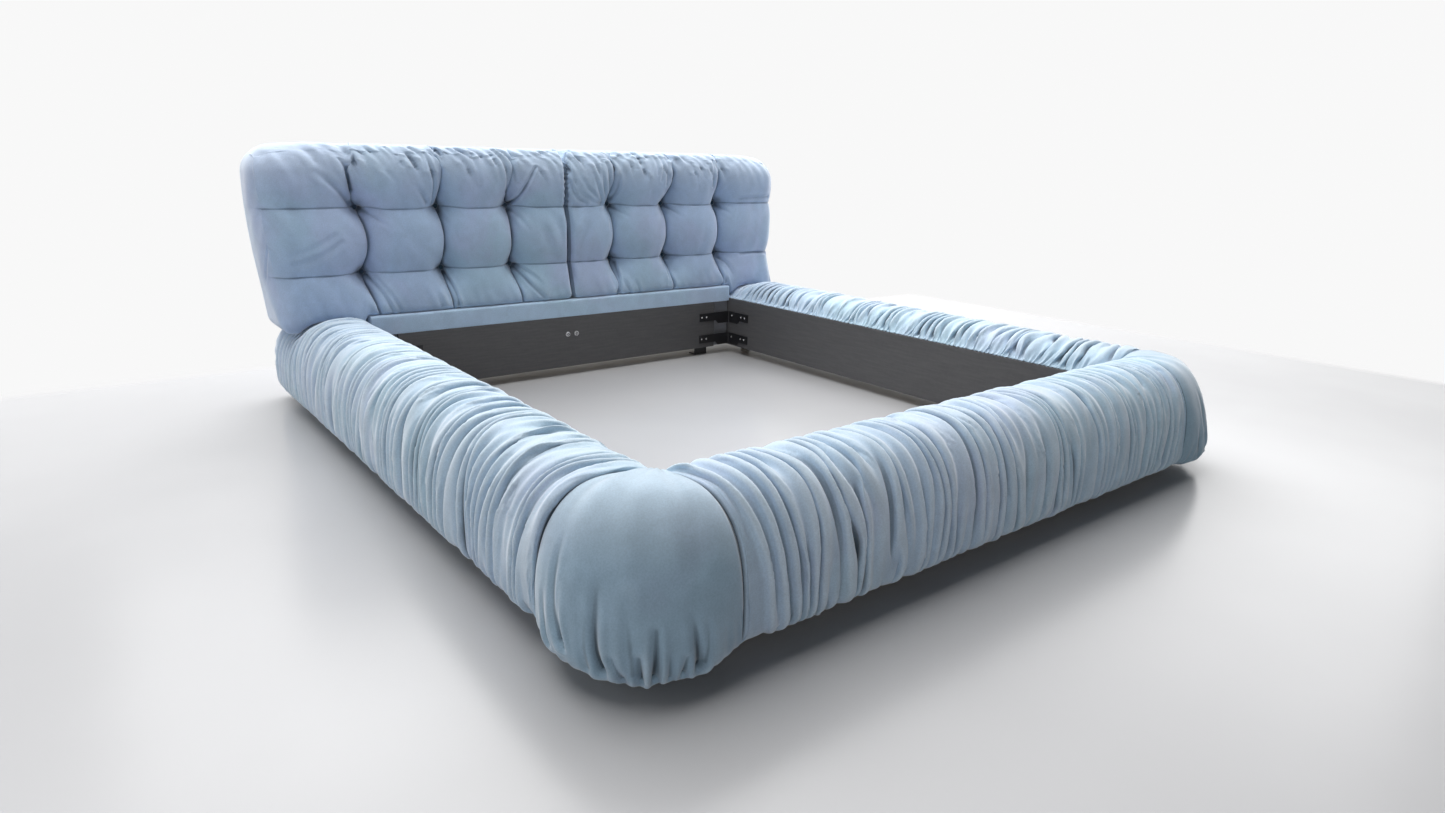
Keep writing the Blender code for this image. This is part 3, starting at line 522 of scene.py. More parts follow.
SEAM_DEPTH = 0.009
SEAM_STEP = 0.0025
SEAM_ZONE = 0.030
SEAM_BOWS = {"side": 0.046, "foot": 0.026}
SEAM_BOW_SHARES = (0.12, 0.48)
SIDE_SEAM_EXTRA = 0.016
CREST_FROM_SHARES = (0.10, 0.12)
CREST_TO_SHARES = (0.42, 0.25)
# Painted shade along each seam line: its darkness and its width
SEAM_SHADE = 0.024
SEAM_SHADE_WIDTH = 0.0036
PINCH_LENGTH = 0.012


def skin_weight(share):
    """Fades a change of the skin out towards its two tucked edges."""
    return np.sin(np.pi * np.clip(share, 0, 1)) ** 0.5


def upper_part(share):
    """The stretch of the skin over the crest, where the side roll's end laps over its seam."""
    return grown(share, CREST_FROM_SHARES) * (1 - grown(share, CREST_TO_SHARES))


def seam_depth(share, roll):
    extra = SIDE_SEAM_EXTRA * upper_part(share) if roll == "side" else 0.0
    return (SEAM_DEPTH + extra) * skin_weight(share)


def seam_bow(share, roll):
    return SEAM_BOWS[roll] * grown(share, SEAM_BOW_SHARES)


def seam_start(roll):
    """How far a seam lies from the square end of its roll, all the way round."""
    return CORNER_PIVOT - np.minimum(SKIN_REACH, CORNER_PIVOT) + seam_bow(SHARE_ROUND, roll)


def pinch(distance):
    """Share of a seam's depth at a distance from it along the roll."""
    return fall(distance, PINCH_LENGTH) ** 2


# Painted shade along a seam, fading with the distance from it
def seam_shade(to_seam):
    return SEAM_SHADE * bell(to_seam, SEAM_SHADE_WIDTH)


def seam_rows(length):
    """Places along a roll that are closer together next to its seam."""
    near = np.arange(0, SEAM_ZONE, SEAM_STEP)
    return np.concatenate([near, np.linspace(SEAM_ZONE, length, round((length - SEAM_ZONE) / FOLD_STEP))])


# Folds of the rolls

GATHER = 1.62
FOLD_GRAIN = (0.041, 0.6)
FOLD_SPREAD = 0.38
FOLD_HEIGHT = 0.0098
FOLD_LOWEST = -0.020
FOLD_HIGHEST = 0.016
EDGE_GRAIN = (0.018, 0.10)
EDGE_HEIGHT = 0.0018
EDGE_LEAST_SHARE = 0.15
LIP_EDGE_SHARE = 0.10
TUCK_EDGE_SHARE = 0.08
FAN_REACH = 0.20
FAN_SPREAD = 0.100
FAN_MIDDLE_SHARE = 0.12
VALLEY_SHARE = 0.32
BOW_REACH = 0.35
ROLL_HOLD = 0.06
ROLL_STEPS = 250
LIP_SHARES = (0.01, 0.05)
LOWEST_ROUND = FOLD_LOWEST * grown(SHARE_ROUND, LIP_SHARES)
TUCK_REACH = TUCK * 1.15
PROBE_COLUMN = 10
EDGE_COLUMNS = 3

# Small wrinkles on the folds, and the valleys between folds, pressed in after the sheet has settled, with
# painted shade where a valley is pressed less deep than wanted
WRINKLE_GRAIN = (0.016, 0.10)
WRINKLE_TURN = math.radians(8)
WRINKLE_HEIGHT = 0.0007
WRINKLE_PATCH_GRAIN = (0.10, 0.12)
WRINKLE_MOST = 1.5
VALLEY_FROM = -0.002
VALLEY_SPAN = 0.014
VALLEY_PRESS = 0.009
VALLEY_SHADE = 1.4
DEEPEST = -0.0215


def at_columns(places, even, values):
    """Each column of values, given at even places, read at the column's own places."""
    columns = [np.interp(places[:, column], even, values[:, column]) for column in range(values.shape[1])]
    return np.stack(columns, 1)


def roll_heights(distance, from_seams, seed):
    """Seed heights of the folds of a roll, which lean away from the seams at its ends."""
    even = np.arange(0, distance[-1] + FOLD_STEP, FOLD_STEP)
    size, pitch = (len(even), SKIN_POINTS), (FOLD_STEP, SKIN_PITCH)
    folds = band_noise(size, pitch, FOLD_GRAIN, FOLD_SPREAD, seed)
    folds = folds - VALLEY_SHARE * (folds**2 - 1)
    lean = np.zeros((len(distance), SKIN_POINTS))
    for sign, seam in from_seams:
        lean += sign * FAN_SPREAD * np.exp(-seam[:, None] / FAN_REACH) * (SHARE_ROUND - FAN_MIDDLE_SHARE)
    folds = at_columns(distance[:, None] - lean, even, folds)
    fine = band_noise(size, pitch, EDGE_GRAIN, FOLD_SPREAD, seed + SEEDS["edge_folds"])
    fine = at_columns(np.repeat(distance[:, None], SKIN_POINTS, 1), even, fine)
    edge = bell(SHARE_ROUND, LIP_EDGE_SHARE) + bell(1 - SHARE_ROUND, TUCK_EDGE_SHARE)
    return FOLD_HEIGHT * folds * (1 - edge) + EDGE_HEIGHT * fine * (EDGE_LEAST_SHARE + edge)


def with_edges(base, points, ridge):
    """Adds the leather that lies on the board's edge and turns in under the bottom board."""
    out = base[:, SKIN_POINTS // 2, :2] - base[:, 0, :2]
    out = (out / (lengths(out)[:, None] + TINY))[:, None]
    lip, foot = points[:, :1].copy(), points[:, -1:].copy()
    lip[..., :2] += (BOARD_THICKNESS + SEAM_GAP - LIP_REACH) * out
    foot[..., :2] -= TUCK_REACH * out
    raised = foot.copy()
    raised[..., 2] += TUCK
    edge = np.zeros((len(ridge), 1))
    points = np.concatenate([lip, points, foot, raised], axis=1)
    return points, np.concatenate([edge, ridge, edge, edge], axis=1)


def leather_sheet(name, base, outward, gather, heights, lowest, highest, steps, material):
    """Settles a grid of leather and makes it a piece."""
    cloth = grid_cloth(base, outward, gather, heights, lowest, highest)
    points, ridge = settle(cloth, steps, ROLL_HOLD)
    base = cloth["base"]
    points, ridge = with_edges(base, points, ridge)
    corner, column = base[0, PROBE_COLUMN], PROBE_COLUMN
    turned = np.cross(base[-1, column] - corner, base[0, column + 2] - corner)
    flip = (turned * cloth["normal"][0, column]).sum() < 0
    quads = grid_quads(*points.shape[:2], flip)
    return mesh_piece(name, points, quads, [material], ridge)


def roll_detail(piece, walked, to_seam, seed):
    """Smooths a roll, deepens the valleys between its folds, adds the small wrinkles on them and paints shade
    into its valleys and along its seams.
    """
    across = np.arange(SKIN_POINTS + EDGE_COLUMNS) * SKIN_PITCH
    write_layer(piece.data, "walked", np.repeat(walked, len(across)))
    write_layer(piece.data, "across", np.tile(across, len(walked)))
    write_layer(piece.data, "to_seam", np.repeat(to_seam, len(across)))
    mesh = smoothed(piece)
    layers = ("ridge", "walked", "across", "to_seam")
    ridge, walked, across, to_seam = (read_layer(mesh, name) for name in layers)
    wanted = VALLEY_PRESS * smoothstep((VALLEY_FROM - ridge) / VALLEY_SPAN)
    deeper = np.minimum(wanted, np.clip(ridge - DEEPEST, 0, None))
    wrinkles = sampled_noise(walked, across, WRINKLE_GRAIN, seed, WRINKLE_TURN)
    patches = np.clip(sampled_noise(walked, across, WRINKLE_PATCH_GRAIN, seed + 1), 0, WRINKLE_MOST)
    press(mesh, WRINKLE_HEIGHT * wrinkles * patches - deeper)
    # Painted shade along the seams and in the valleys that could not be pressed as deep as wanted
    shade(mesh, seam_shade(to_seam) + VALLEY_SHADE * (wanted - deeper))


# Side rolls

END_SMOOTHING = 0.075
END_PLEAT_GRAIN = (0.042, 0.35)
END_PLEAT_HEIGHT = 0.0045
END_PLEAT_SHARE = 0.5
END_CLOSING_SHARE = 0.03
END_CLOSING_ROWS = 24
LAP_DEPTH = 0.007
LAP_PLACE = 0.015
LAP_WIDTH = 0.013
OVERHANG = 0.010
OVERHANG_PLACE = 0.009
OVERHANG_WIDTH = 0.009
OVERHANG_START = 0.006
FOLDS_START = (0.008, 0.020)
UNDER_HEAD_START = 0.012
UNDER_HEAD_DROP = 0.045
UNDER_HEAD_RISE = -0.002
UNDER_HEAD_HIGHEST = -0.0012


def side_rows():
    """Places along a side roll, the share that its section keeps at each, and the length walked so far."""
    rows = seam_rows(SIDE_STRAIGHT)
    turns = np.linspace(0, math.pi / 2, round(ROLL_END_ROUND * math.pi / 2 / FOLD_STEP))[1:]
    closing = np.linspace(1, END_CLOSING_SHARE, END_CLOSING_ROWS)[1:]
    least = 1 - ROLL_END_ROUND / ROLL_REACH
    end = np.full(len(closing), SIDE_STRAIGHT + ROLL_END_ROUND)
    along = np.concatenate([rows, SIDE_STRAIGHT + ROLL_END_ROUND * np.sin(turns), end])
    shrink = np.concatenate([np.ones(len(rows)), 1 - (1 - least) * (1 - np.cos(turns)), least * closing])
    walked = np.concatenate([rows, SIDE_STRAIGHT + FOLD_STEP * np.arange(1, len(along) - len(rows) + 1)])
    return along, shrink[:, None], walked


def side_base(sign, along, shrink):
    """The form under a side roll's leather: lower under the headboard, drawn in and lapped at its seam."""
    dip = smoothstep((along - (TO_HEAD - HEAD_DIP_LENGTH)) / HEAD_DIP_LENGTH)[:, None]
    reach = SKIN_REACH * (1 - dip) + SKIN_REACH_AT_HEAD * dip
    height = SKIN_HEIGHT * (1 - dip) + SKIN_HEIGHT_AT_HEAD * dip
    reach = np.where(shrink < 1, BOARD_THICKNESS + (reach - BOARD_THICKNESS) * shrink, reach)
    height = ROLL_WAIST + (height - ROLL_WAIST) * shrink
    y = CORNER_Y + SEAM_GAP / 2 + along[:, None] + seam_start("side") * np.exp(-along / BOW_REACH)[:, None]
    overhang = bell(along - OVERHANG_PLACE, OVERHANG_WIDTH) * smoothstep(along / OVERHANG_START)
    y -= OVERHANG * overhang[:, None] * upper_part(SHARE_ROUND)
    drawn = pinch(along)[:, None] * seam_depth(SHARE_ROUND, "side")
    drawn = drawn - LAP_DEPTH * bell(along - LAP_PLACE, LAP_WIDTH)[:, None] * upper_part(SHARE_ROUND)
    x = sign * (WELL_HALF_WIDTH + (reach - drawn * NORMAL_REACH))
    return np.stack([x, y, height - drawn * NORMAL_HEIGHT], axis=-1)


def side_roll(side, sign, material):
    """A side roll: from its seam at the corner patch to its rounded end behind the headboard."""
    along, shrink, walked = side_rows()
    base = side_base(sign, along, shrink)
    outward = base - np.array([sign * (WELL_HALF_WIDTH + ROLL_REACH / 2), 0, ROLL_WAIST])
    outward[..., 1] = 0
    under = (along > TO_HEAD - UNDER_HEAD_START)[:, None]
    under = under & (base[..., 2] > ROLL_TOP_AT_HEAD - UNDER_HEAD_DROP)
    highest = np.where(under, UNDER_HEAD_HIGHEST, FOLD_HIGHEST)
    held_down = np.where(under, UNDER_HEAD_RISE, np.inf)
    folds = roll_heights(walked, [(1, along)], SEEDS["side_folds"] + sign)
    folds = np.minimum(folds * grown(walked, FOLDS_START)[:, None], held_down)
    around, walked_too = np.meshgrid(SKIN_PITCH * np.arange(SKIN_POINTS), walked)
    drawn_in = sampled_noise(around, walked_too, END_PLEAT_GRAIN, SEEDS["end_pleats"] + sign)
    pleats = END_PLEAT_HEIGHT * drawn_in * smoothstep(shrink / END_PLEAT_SHARE) * skin_weight(SHARE_ROUND)
    ending = smoothstep((walked - SIDE_STRAIGHT + END_SMOOTHING) / END_SMOOTHING)[:, None]
    heights = np.minimum(folds * (1 - ending) + pleats * ending, held_down)
    heights[[0, -1]] = 0
    gather = 1 + (GATHER - 1) * (1 - ending[1:]) * smoothstep(walked[1:] / SEAM_ZONE)[:, None]
    sheet = (base, outward, gather, heights, LOWEST_ROUND, highest)
    piece = leather_sheet(f"ruched_roll_{side}", *sheet, ROLL_STEPS, material)
    roll_detail(piece, walked, walked, SEEDS["side_wrinkles"] + 2 * sign)
    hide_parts(f"side_roll_{side}")


# Foot roll

FOOT_FOLDS_REACH = 0.016
SHALLOW_LOWEST = -0.003
SHALLOW_SLOPE = 0.05
SHALLOW_REACH = 0.05


def foot_roll(material):
    """The foot roll between its two seams, where its folds are shallow at first."""
    half = WELL_HALF_WIDTH + CORNER_PIVOT - SEAM_GAP / 2
    rows = seam_rows(half)
    along = np.concatenate([rows, 2 * half - rows[-2::-1]])
    left, right = along, 2 * half - along
    to_seam = np.minimum(left, right)
    bow = np.exp(-right / BOW_REACH) - np.exp(-left / BOW_REACH)
    x = (along - half)[:, None] - seam_start("foot") * bow[:, None]
    drawn = pinch(to_seam)[:, None] * seam_depth(SHARE_ROUND, "foot")
    y = FOOT_Y - (SKIN_REACH - drawn * NORMAL_REACH)
    base = np.stack([x, y, SKIN_HEIGHT - drawn * NORMAL_HEIGHT], axis=-1)
    outward = base - np.array([0, FOOT_Y - ROLL_REACH / 2, ROLL_WAIST])
    outward[..., 0] = 0
    heights = roll_heights(along, [(1, left), (-1, right)], SEEDS["foot_folds"])
    shallow = SHALLOW_LOWEST - SHALLOW_SLOPE * np.maximum(to_seam - SHALLOW_REACH, 0)
    heights = np.maximum(heights, shallow[:, None]) * smoothstep(to_seam / FOOT_FOLDS_REACH)[:, None]
    gather = 1 + (GATHER - 1) * smoothstep(to_seam[1:] / SEAM_ZONE)[:, None]
    gather = np.repeat(gather, SKIN_POINTS, axis=1)
    sheet = (base, outward, gather, heights, LOWEST_ROUND, FOLD_HIGHEST)
    piece = leather_sheet("ruched_roll_foot", *sheet, ROLL_STEPS, material)
    roll_detail(piece, along, to_seam, SEEDS["foot_wrinkles"])
    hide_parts("foot_roll")


# Corner patches. Rows of a sheet or a box are given as their spacing far from a mark, at it, and the reach

DENSE_PLACES = 2000
CORNER_ROWS = (0.0115, 0.0050, 0.08)
CORNER_SIZE = ROLL_REACH * math.pi / 2
CORNER_BULGE = 0.014
CORNER_FULLNESS = 0.8
CORNER_SAG = 0.022
CORNER_HANG = 0.030
HANG_SHARES = (0.50, 0.32)
HANG_END_SHARES = (0.86, 0.14)
HANG_LOSS_SHARE = 0.7
LOW_SHARES = (0.72, 0.22)
SHOULDERS = {"side": 0.018, "foot": 0.007}
CORNER_GRAIN = (0.12, 0.3)
CORNER_SOFT_HEIGHT = 0.0014
CORNER_GATHER_GRAIN = (0.030, 0.25)
CORNER_GATHER_HEIGHT = 0.0030
CORNER_CUT = 1.01
CORNER_GATHER = 0.12
CORNER_LOWEST = -0.010
CORNER_HIGHEST = 0.006
CORNER_STEPS = 160
DART_STRENGTH = 1.30
# Painted shade in the darts' bottoms: its strength, and its width as a share of the crease's
DART_SHADE = 1.8
DART_SHADE_WIDTH_SHARE = 0.45

# Creases of the left corner: a line's points are how far from the side seam and how far round the skin
CORNER_CREASES = (
    (((0.201, 0.422), (0.203, 0.475), (0.207, 0.525), (0.219, 0.560)), 0.0085, 0.001, 0.013),
    (((0.281, 0.525), (0.283, 0.575)), 0.0060, 0.004, 0.011),
    (((0.310, 0.477), (0.308, 0.524), (0.304, 0.575)), 0.0070, 0.003, 0.011),
    (((0.359, 0.535), (0.352, 0.575)), 0.0065, 0.003, 0.010),
    (((0.373, 0.465), (0.378, 0.501), (0.378, 0.565)), 0.0085, 0.001, 0.013),
    (((0.097, 0.345), (0.099, 0.428), (0.112, 0.480), (0.135, 0.530)), 0.0085, 0.000, 0.007),
    (((0.118, 0.430), (0.129, 0.493), (0.146, 0.540)), 0.0065, 0.001, 0.005),
    (((0.258, 0.432), (0.267, 0.501), (0.270, 0.560)), 0.0110, 0.001, 0.005),
    (((0.398, 0.483), (0.398, 0.518), (0.390, 0.560)), 0.0080, 0.002, 0.006),
    (((0.186, 0.465), (0.187, 0.515), (0.196, 0.560)), 0.0090, 0.001, 0.005),
    (((0.236, 0.529), (0.253, 0.575)), 0.0065, 0.003, 0.007),
    (((0.070, 0.470), (0.080, 0.520), (0.098, 0.560)), 0.0080, 0.001, 0.006),
    (((0.330, 0.520), (0.330, 0.575)), 0.0060, 0.001, 0.006),
)


def to_nearest(values, marks):
    return np.min([np.abs(values - mark) for mark in marks], axis=0)


def graded_lines(start, end, marks, coarse, fine, reach):
    """Places from start to end, closer together near the marks."""
    dense = np.linspace(start, end, DENSE_PLACES)
    spacing = fine + (coarse - fine) * smoothstep(to_nearest(dense, marks) / reach)
    walked = np.concatenate([[0], np.cumsum(np.diff(dense) / spacing[1:])])
    return np.interp(np.linspace(0, walked[-1], round(walked[-1]) + 1), walked, dense)


def corner_plan(reach, share, across):
    """Plan of a corner's rings: from the side seam round the pivot to the foot seam."""
    before, after = seam_bow(share, "side"), seam_bow(share, "foot")
    arc = reach * math.pi / 2
    walked = (SEAM_GAP / 2 + (1 - SEAM_GAP) * across) * (before + arc + after)
    turn = np.clip((walked - before) / reach, 0, math.pi / 2)
    out = reach * np.cos(turn) - np.maximum(walked - before - arc, 0)
    down = reach * np.sin(turn) - np.maximum(before - walked, 0)
    return turn, out, down


def corner_base(sign, even, share, across):
    """The form under a corner patch: a quarter turn of the roll's section, full in the middle."""
    section = (SKIN_REACH, SKIN_HEIGHT, NORMAL_REACH, NORMAL_HEIGHT)
    read = [np.interp(even, np.arange(SKIN_POINTS), values) for values in section]
    reach, height, out_share, up_share = read
    reach = reach - CORNER_PIVOT
    reach[0] = SEAM_GAP
    turn, out, down = corner_plan(reach, share, across)
    middle = np.sin(np.pi * across)
    drawn = seam_depth(share, "side") * np.exp(-across * CORNER_SIZE / SHOULDERS["side"])
    drawn = drawn + seam_depth(share, "foot") * np.exp(-(1 - across) * CORNER_SIZE / SHOULDERS["foot"])
    swell = CORNER_BULGE * middle**CORNER_FULLNESS * skin_weight(share) - drawn
    hang = middle**CORNER_FULLNESS * grown(share, HANG_SHARES)
    hang = hang * (1 - HANG_LOSS_SHARE * grown(share, HANG_END_SHARES))
    swell_out = swell * out_share + CORNER_HANG * hang
    x = sign * (WELL_HALF_WIDTH + CORNER_PIVOT + out + swell_out * np.cos(turn))
    y = CORNER_Y - down - swell_out * np.sin(turn)
    return np.stack([x, y, height + swell * up_share - CORNER_SAG * hang], axis=-1)


def corner_darts(mesh, sign):
    """Presses the darts and soft creases in, and paints shade into their bottoms and along the two seams."""
    first, second = read_layer(mesh, "first"), read_layer(mesh, "second")
    creases = CORNER_CREASES
    if sign > 0:
        creases = [([(CORNER_SIZE - place, way) for place, way in line], *rest) for line, *rest in creases]
    narrow = [(line, DART_SHADE_WIDTH_SHARE * width, *depths) for line, width, *depths in creases]
    press(mesh, DART_STRENGTH * creased(first, second, creases))
    # Painted shade in the bottoms of the darts and creases, and along the two seams
    shade(mesh, DART_SHADE * np.clip(-creased(first, second, narrow), 0, None))
    shade(mesh, seam_shade(np.minimum(first, CORNER_SIZE - first)))


def corner_patch(side, sign, material):
    """A smooth sewn corner between two seams, gathered into darts below."""
    begin = int(np.argmax(SKIN_REACH > CORNER_PIVOT))
    even = np.linspace(begin, SKIN_POINTS - 1, SKIN_POINTS)
    share = even / (SKIN_POINTS - 1)
    across = graded_lines(0, 1, [0, 1], *CORNER_ROWS)[:, None]
    base = corner_base(sign, even, share, across)
    outward = base - np.array([sign * (WELL_HALF_WIDTH + CORNER_PIVOT), CORNER_Y, ROLL_WAIST])
    first = np.repeat(across * CORNER_SIZE, SKIN_POINTS, 1)
    second = np.repeat(share[None], len(across), 0) * SKIN_PITCH * (SKIN_POINTS - 1)
    low = grown(share, LOW_SHARES)
    soft = sampled_noise(first, second, CORNER_GRAIN, SEEDS["corner_soft"] + sign)
    gathers = sampled_noise(first, second, CORNER_GATHER_GRAIN, SEEDS["corner_gathers"] + sign)
    heights = (CORNER_GATHER_HEIGHT * gathers * low + CORNER_SOFT_HEIGHT * soft) * skin_weight(share)
    heights[[0, -1]] = 0
    gather = CORNER_CUT + (CORNER_GATHER * low)[None] * np.ones((len(across) - 1, 1))
    sheet = (base, outward, gather, heights, CORNER_LOWEST, CORNER_HIGHEST)
    piece = leather_sheet(f"corner_patch_{side}", *sheet, CORNER_STEPS, material)
    for name, values in (("first", first), ("second", second)):
        edges = values[:, :1], values, values[:, -1:], values[:, -1:]
        write_layer(piece.data, name, np.concatenate(edges, 1))
    corner_darts(smoothed(piece), sign)
    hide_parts(f"foot_corner_{side}")


# Headboard cushions. Places are across the bed from its middle, up from the floor, and in depth from the
# front, and a piece's layers "across", "height" and "depth" keep them

CUSHION_ACROSS = (0.0088, 0.0045, 0.05)
CUSHION_DEEP = (0.018, 0.007, 0.18)
CUSHION_UP = (0.0085, 0.0035, 0.04)

# Rounding of a half's box at its low and its high end: across, in depth and up
LOW_ROUND = (0.032, 0.115, 0.030)
HIGH_ROUND = (0.095, 0.060, 0.110)
OUTER_ROUND = 0.055
OUTER_ROUND_STRETCH = (0.95, 0.25)
HEM_ROUND = 0.030
HEM_ROUND_REACH = 0.13
HEM_END_ROUND = 0.045
HEM_END_REACH = 0.15

# Depths of the tufts, of the creases between them and of the sewn lines
BUTTON_SEAT = 0.012
ABOVE_ROWS = (0.03, 0.17)
BELOW_ROWS = (0.02, 0.12)
FOLD_LINE_DEPTH = 0.078
FOLD_LINE_DEPTH_ABOVE = 0.022
FOLD_LINE_DEPTH_BELOW = 0.014
SEAM_LINE_DEPTH = 0.020
SEAM_LINE_FALL = 2.2
CELL_HALF_WIDTH = 0.160
CELL_HALF_HEIGHT = 0.128
DIMPLE_HEIGHT = 0.100
DIMPLE_FALL_UP = 3.0
DIMPLE_WIDTH = 0.110
DIMPLE_FALL_ACROSS = 3.2
STITCH_DEPTH = 0.004
STITCH_WIDTH = 0.0035
CREASE_DEPTH = 0.016
CREASE_WIDTH = 0.0065
CREASE_LOSS_SHARE = 0.5
TOP_BEND_POWER = 2
HEM_BEND_POWER = 1.2

# Seat over the side roll
ROLL_CLEARANCE = 0.002
HEM_SEAT_STRETCH = (0.006, 0.022)

# Sags and dips of the plump form
SHOULDER_DROP = 0.012
SHOULDER_ACROSS = (1.03, 0.21)
SHOULDER_UP = (0.80, 0.22)
BEHIND_REACH = 0.22
ROW_SAG = 0.007
ROW_SAG_WIDTH = 0.07
ROW_SAG_REACH = 0.12
TOP_DIP = 0.016
TOP_DIP_WIDTH = 0.055
END_DIP = 0.010
END_DIP_WIDTH = 0.07

# How far each vertical crease bends to the bed's right between the button rows, above them,
# at the top edge and at the hem: for the inner, the middle and the outer column of each half
CREASE_BENDS = {
    -1: ((0.002, 0.0, 0.010, 0.013), (0.010, 0.012, -0.012, 0.010), (0.026, -0.018, -0.035, 0.030)),
    1: ((-0.002, 0.004, -0.010, -0.018), (-0.006, 0.028, 0.015, 0.0), (-0.006, -0.011, -0.022, -0.018)),
}


def swing(share):
    share = np.clip(share, 0, 1)
    return 4 * share * (1 - share)


def to_creases(across, height, sign):
    """Distance to the nearest vertical crease."""
    low, high = BUTTON_ROWS
    above = np.clip((height - high) / (HEADBOARD_TOP - high), 0, 1)
    below = np.clip((low - height) / (low - CUSHION_LOW), 0, 1)
    found = []
    for column, (between, over, top, hem) in zip(BUTTON_COLUMNS, CREASE_BENDS[sign]):
        bend = between * swing((height - low) / (high - low)) + over * swing(above)
        bend = bend + top * above**TOP_BEND_POWER + hem * below**HEM_BEND_POWER
        found.append(np.abs(across - column - sign * bend))
    return np.min(found, axis=0)


def pillow(distance, half_width):
    """Depth share of a pillow's round side: one in the crease, nothing on the crown."""
    return 1 - np.sqrt(1 - fall(distance, half_width) ** 2)


def tuft_depth(across, height, sign):
    """How far the leather is drawn in from the front plane at its folds, seams and buttons."""
    beside = to_creases(across, height, sign)
    above = to_nearest(height, BUTTON_ROWS)
    over = grown(height - BUTTON_ROWS[1], ABOVE_ROWS)
    below = grown(BUTTON_ROWS[0] - height, BELOW_ROWS)
    line = FOLD_LINE_DEPTH * (1 - over) + FOLD_LINE_DEPTH_ABOVE * over
    line = line * (1 - below) + FOLD_LINE_DEPTH_BELOW * below
    near_row = fall(np.maximum(0, above - BUTTON_SEAT), DIMPLE_HEIGHT) ** DIMPLE_FALL_UP
    near_column = fall(np.maximum(0, beside - BUTTON_SEAT), DIMPLE_WIDTH) ** DIMPLE_FALL_ACROSS
    folds = (line + (TUFT_DEPTH - line) * near_row) * pillow(beside, CELL_HALF_WIDTH)
    seam = fall(above, CELL_HALF_HEIGHT) ** SEAM_LINE_FALL
    seams = (SEAM_LINE_DEPTH + (TUFT_DEPTH - SEAM_LINE_DEPTH) * near_column) * seam
    depth = folds + seams - folds * seams / TUFT_DEPTH
    depth = depth + STITCH_DEPTH * bell(above, STITCH_WIDTH)
    depth = depth + CREASE_DEPTH * (1 - CREASE_LOSS_SHARE * over) * bell(beside, CREASE_WIDTH)
    seat = (beside <= BUTTON_SEAT) & (above <= BUTTON_SEAT)
    return np.where(seat, TUFT_DEPTH, np.minimum(depth, TUFT_DEPTH))


def crest_height(reach):
    """Height of the roll under the headboard at a reach from the well face."""
    half = ROLL_REACH / 2
    share = np.clip(np.abs(reach - half) / half, 0, 1)
    fullness = np.where(reach < half, INNER_FULLNESS, UPPER_FULLNESS)
    return ROLL_WAIST + (ROLL_TOP_AT_HEAD - ROLL_WAIST) * (1 - share**fullness) ** (1 / fullness)


def hem_drop(across, height):
    """How far the lower edge reaches down where it lies over the side roll."""
    reach = across - WELL_HALF_WIDTH
    crest = crest_height(np.maximum(reach, 0)) + ROLL_CLEARANCE
    drop = np.clip(CUSHION_LOW - crest, 0, CUSHION_HEM_DROP) * grown(reach, HEM_SEAT_STRETCH)
    return drop * fall(height - CUSHION_LOW, CUSHION_HEM_FADE)


def lean_at(height):
    return CUSHION_LEAN * (height - CUSHION_LOW) / (HEADBOARD_TOP - CUSHION_LOW)


def box_lattice(lines):
    """The skin of a box divided along three axes: its points, numbers in the lattice and outward quads."""
    counts = [len(line) for line in lines]
    place = np.stack(np.meshgrid(*[np.arange(count) for count in counts], indexing="ij"), axis=-1)
    on_skin = ((place == 0) | (place == np.array(counts) - 1)).any(axis=-1)
    number = np.full(on_skin.shape, -1)
    number[on_skin] = np.arange(on_skin.sum())
    indices = place[on_skin]
    points = np.stack([line[indices[:, axis]] for axis, line in enumerate(lines)], axis=-1)
    quads = []
    for axis in range(3):
        for end in (0, -1):
            side = np.moveaxis(number, axis, 0)[end]
            quad = np.stack([side[:-1, :-1], side[1:, :-1], side[1:, 1:], side[:-1, 1:]], axis=-1)
            outward = (end == -1) != (axis == 1)
            quads.append(quad if outward else quad[..., ::-1])
    return points, number, quads


def smooth_box(points, low_round, high_round):
    """Moves the points of a half's box onto its rounded form, and gives how far each leans to the sides."""
    low = np.array([CUSHION_PARTING, CUSHION_FRONT, CUSHION_LOW])
    high = np.array([CUSHION_HALF_WIDTH, CUSHION_BACK, HEADBOARD_TOP])
    nearest = np.clip(points, low + low_round, high - high_round)
    radius = np.where(points < nearest, low_round, high_round)
    offset = (points - nearest) / radius
    scale = np.abs(offset).max(axis=-1) / (lengths(offset) + TINIEST)
    offset = offset * scale[:, None]
    return nearest + offset * radius, offset


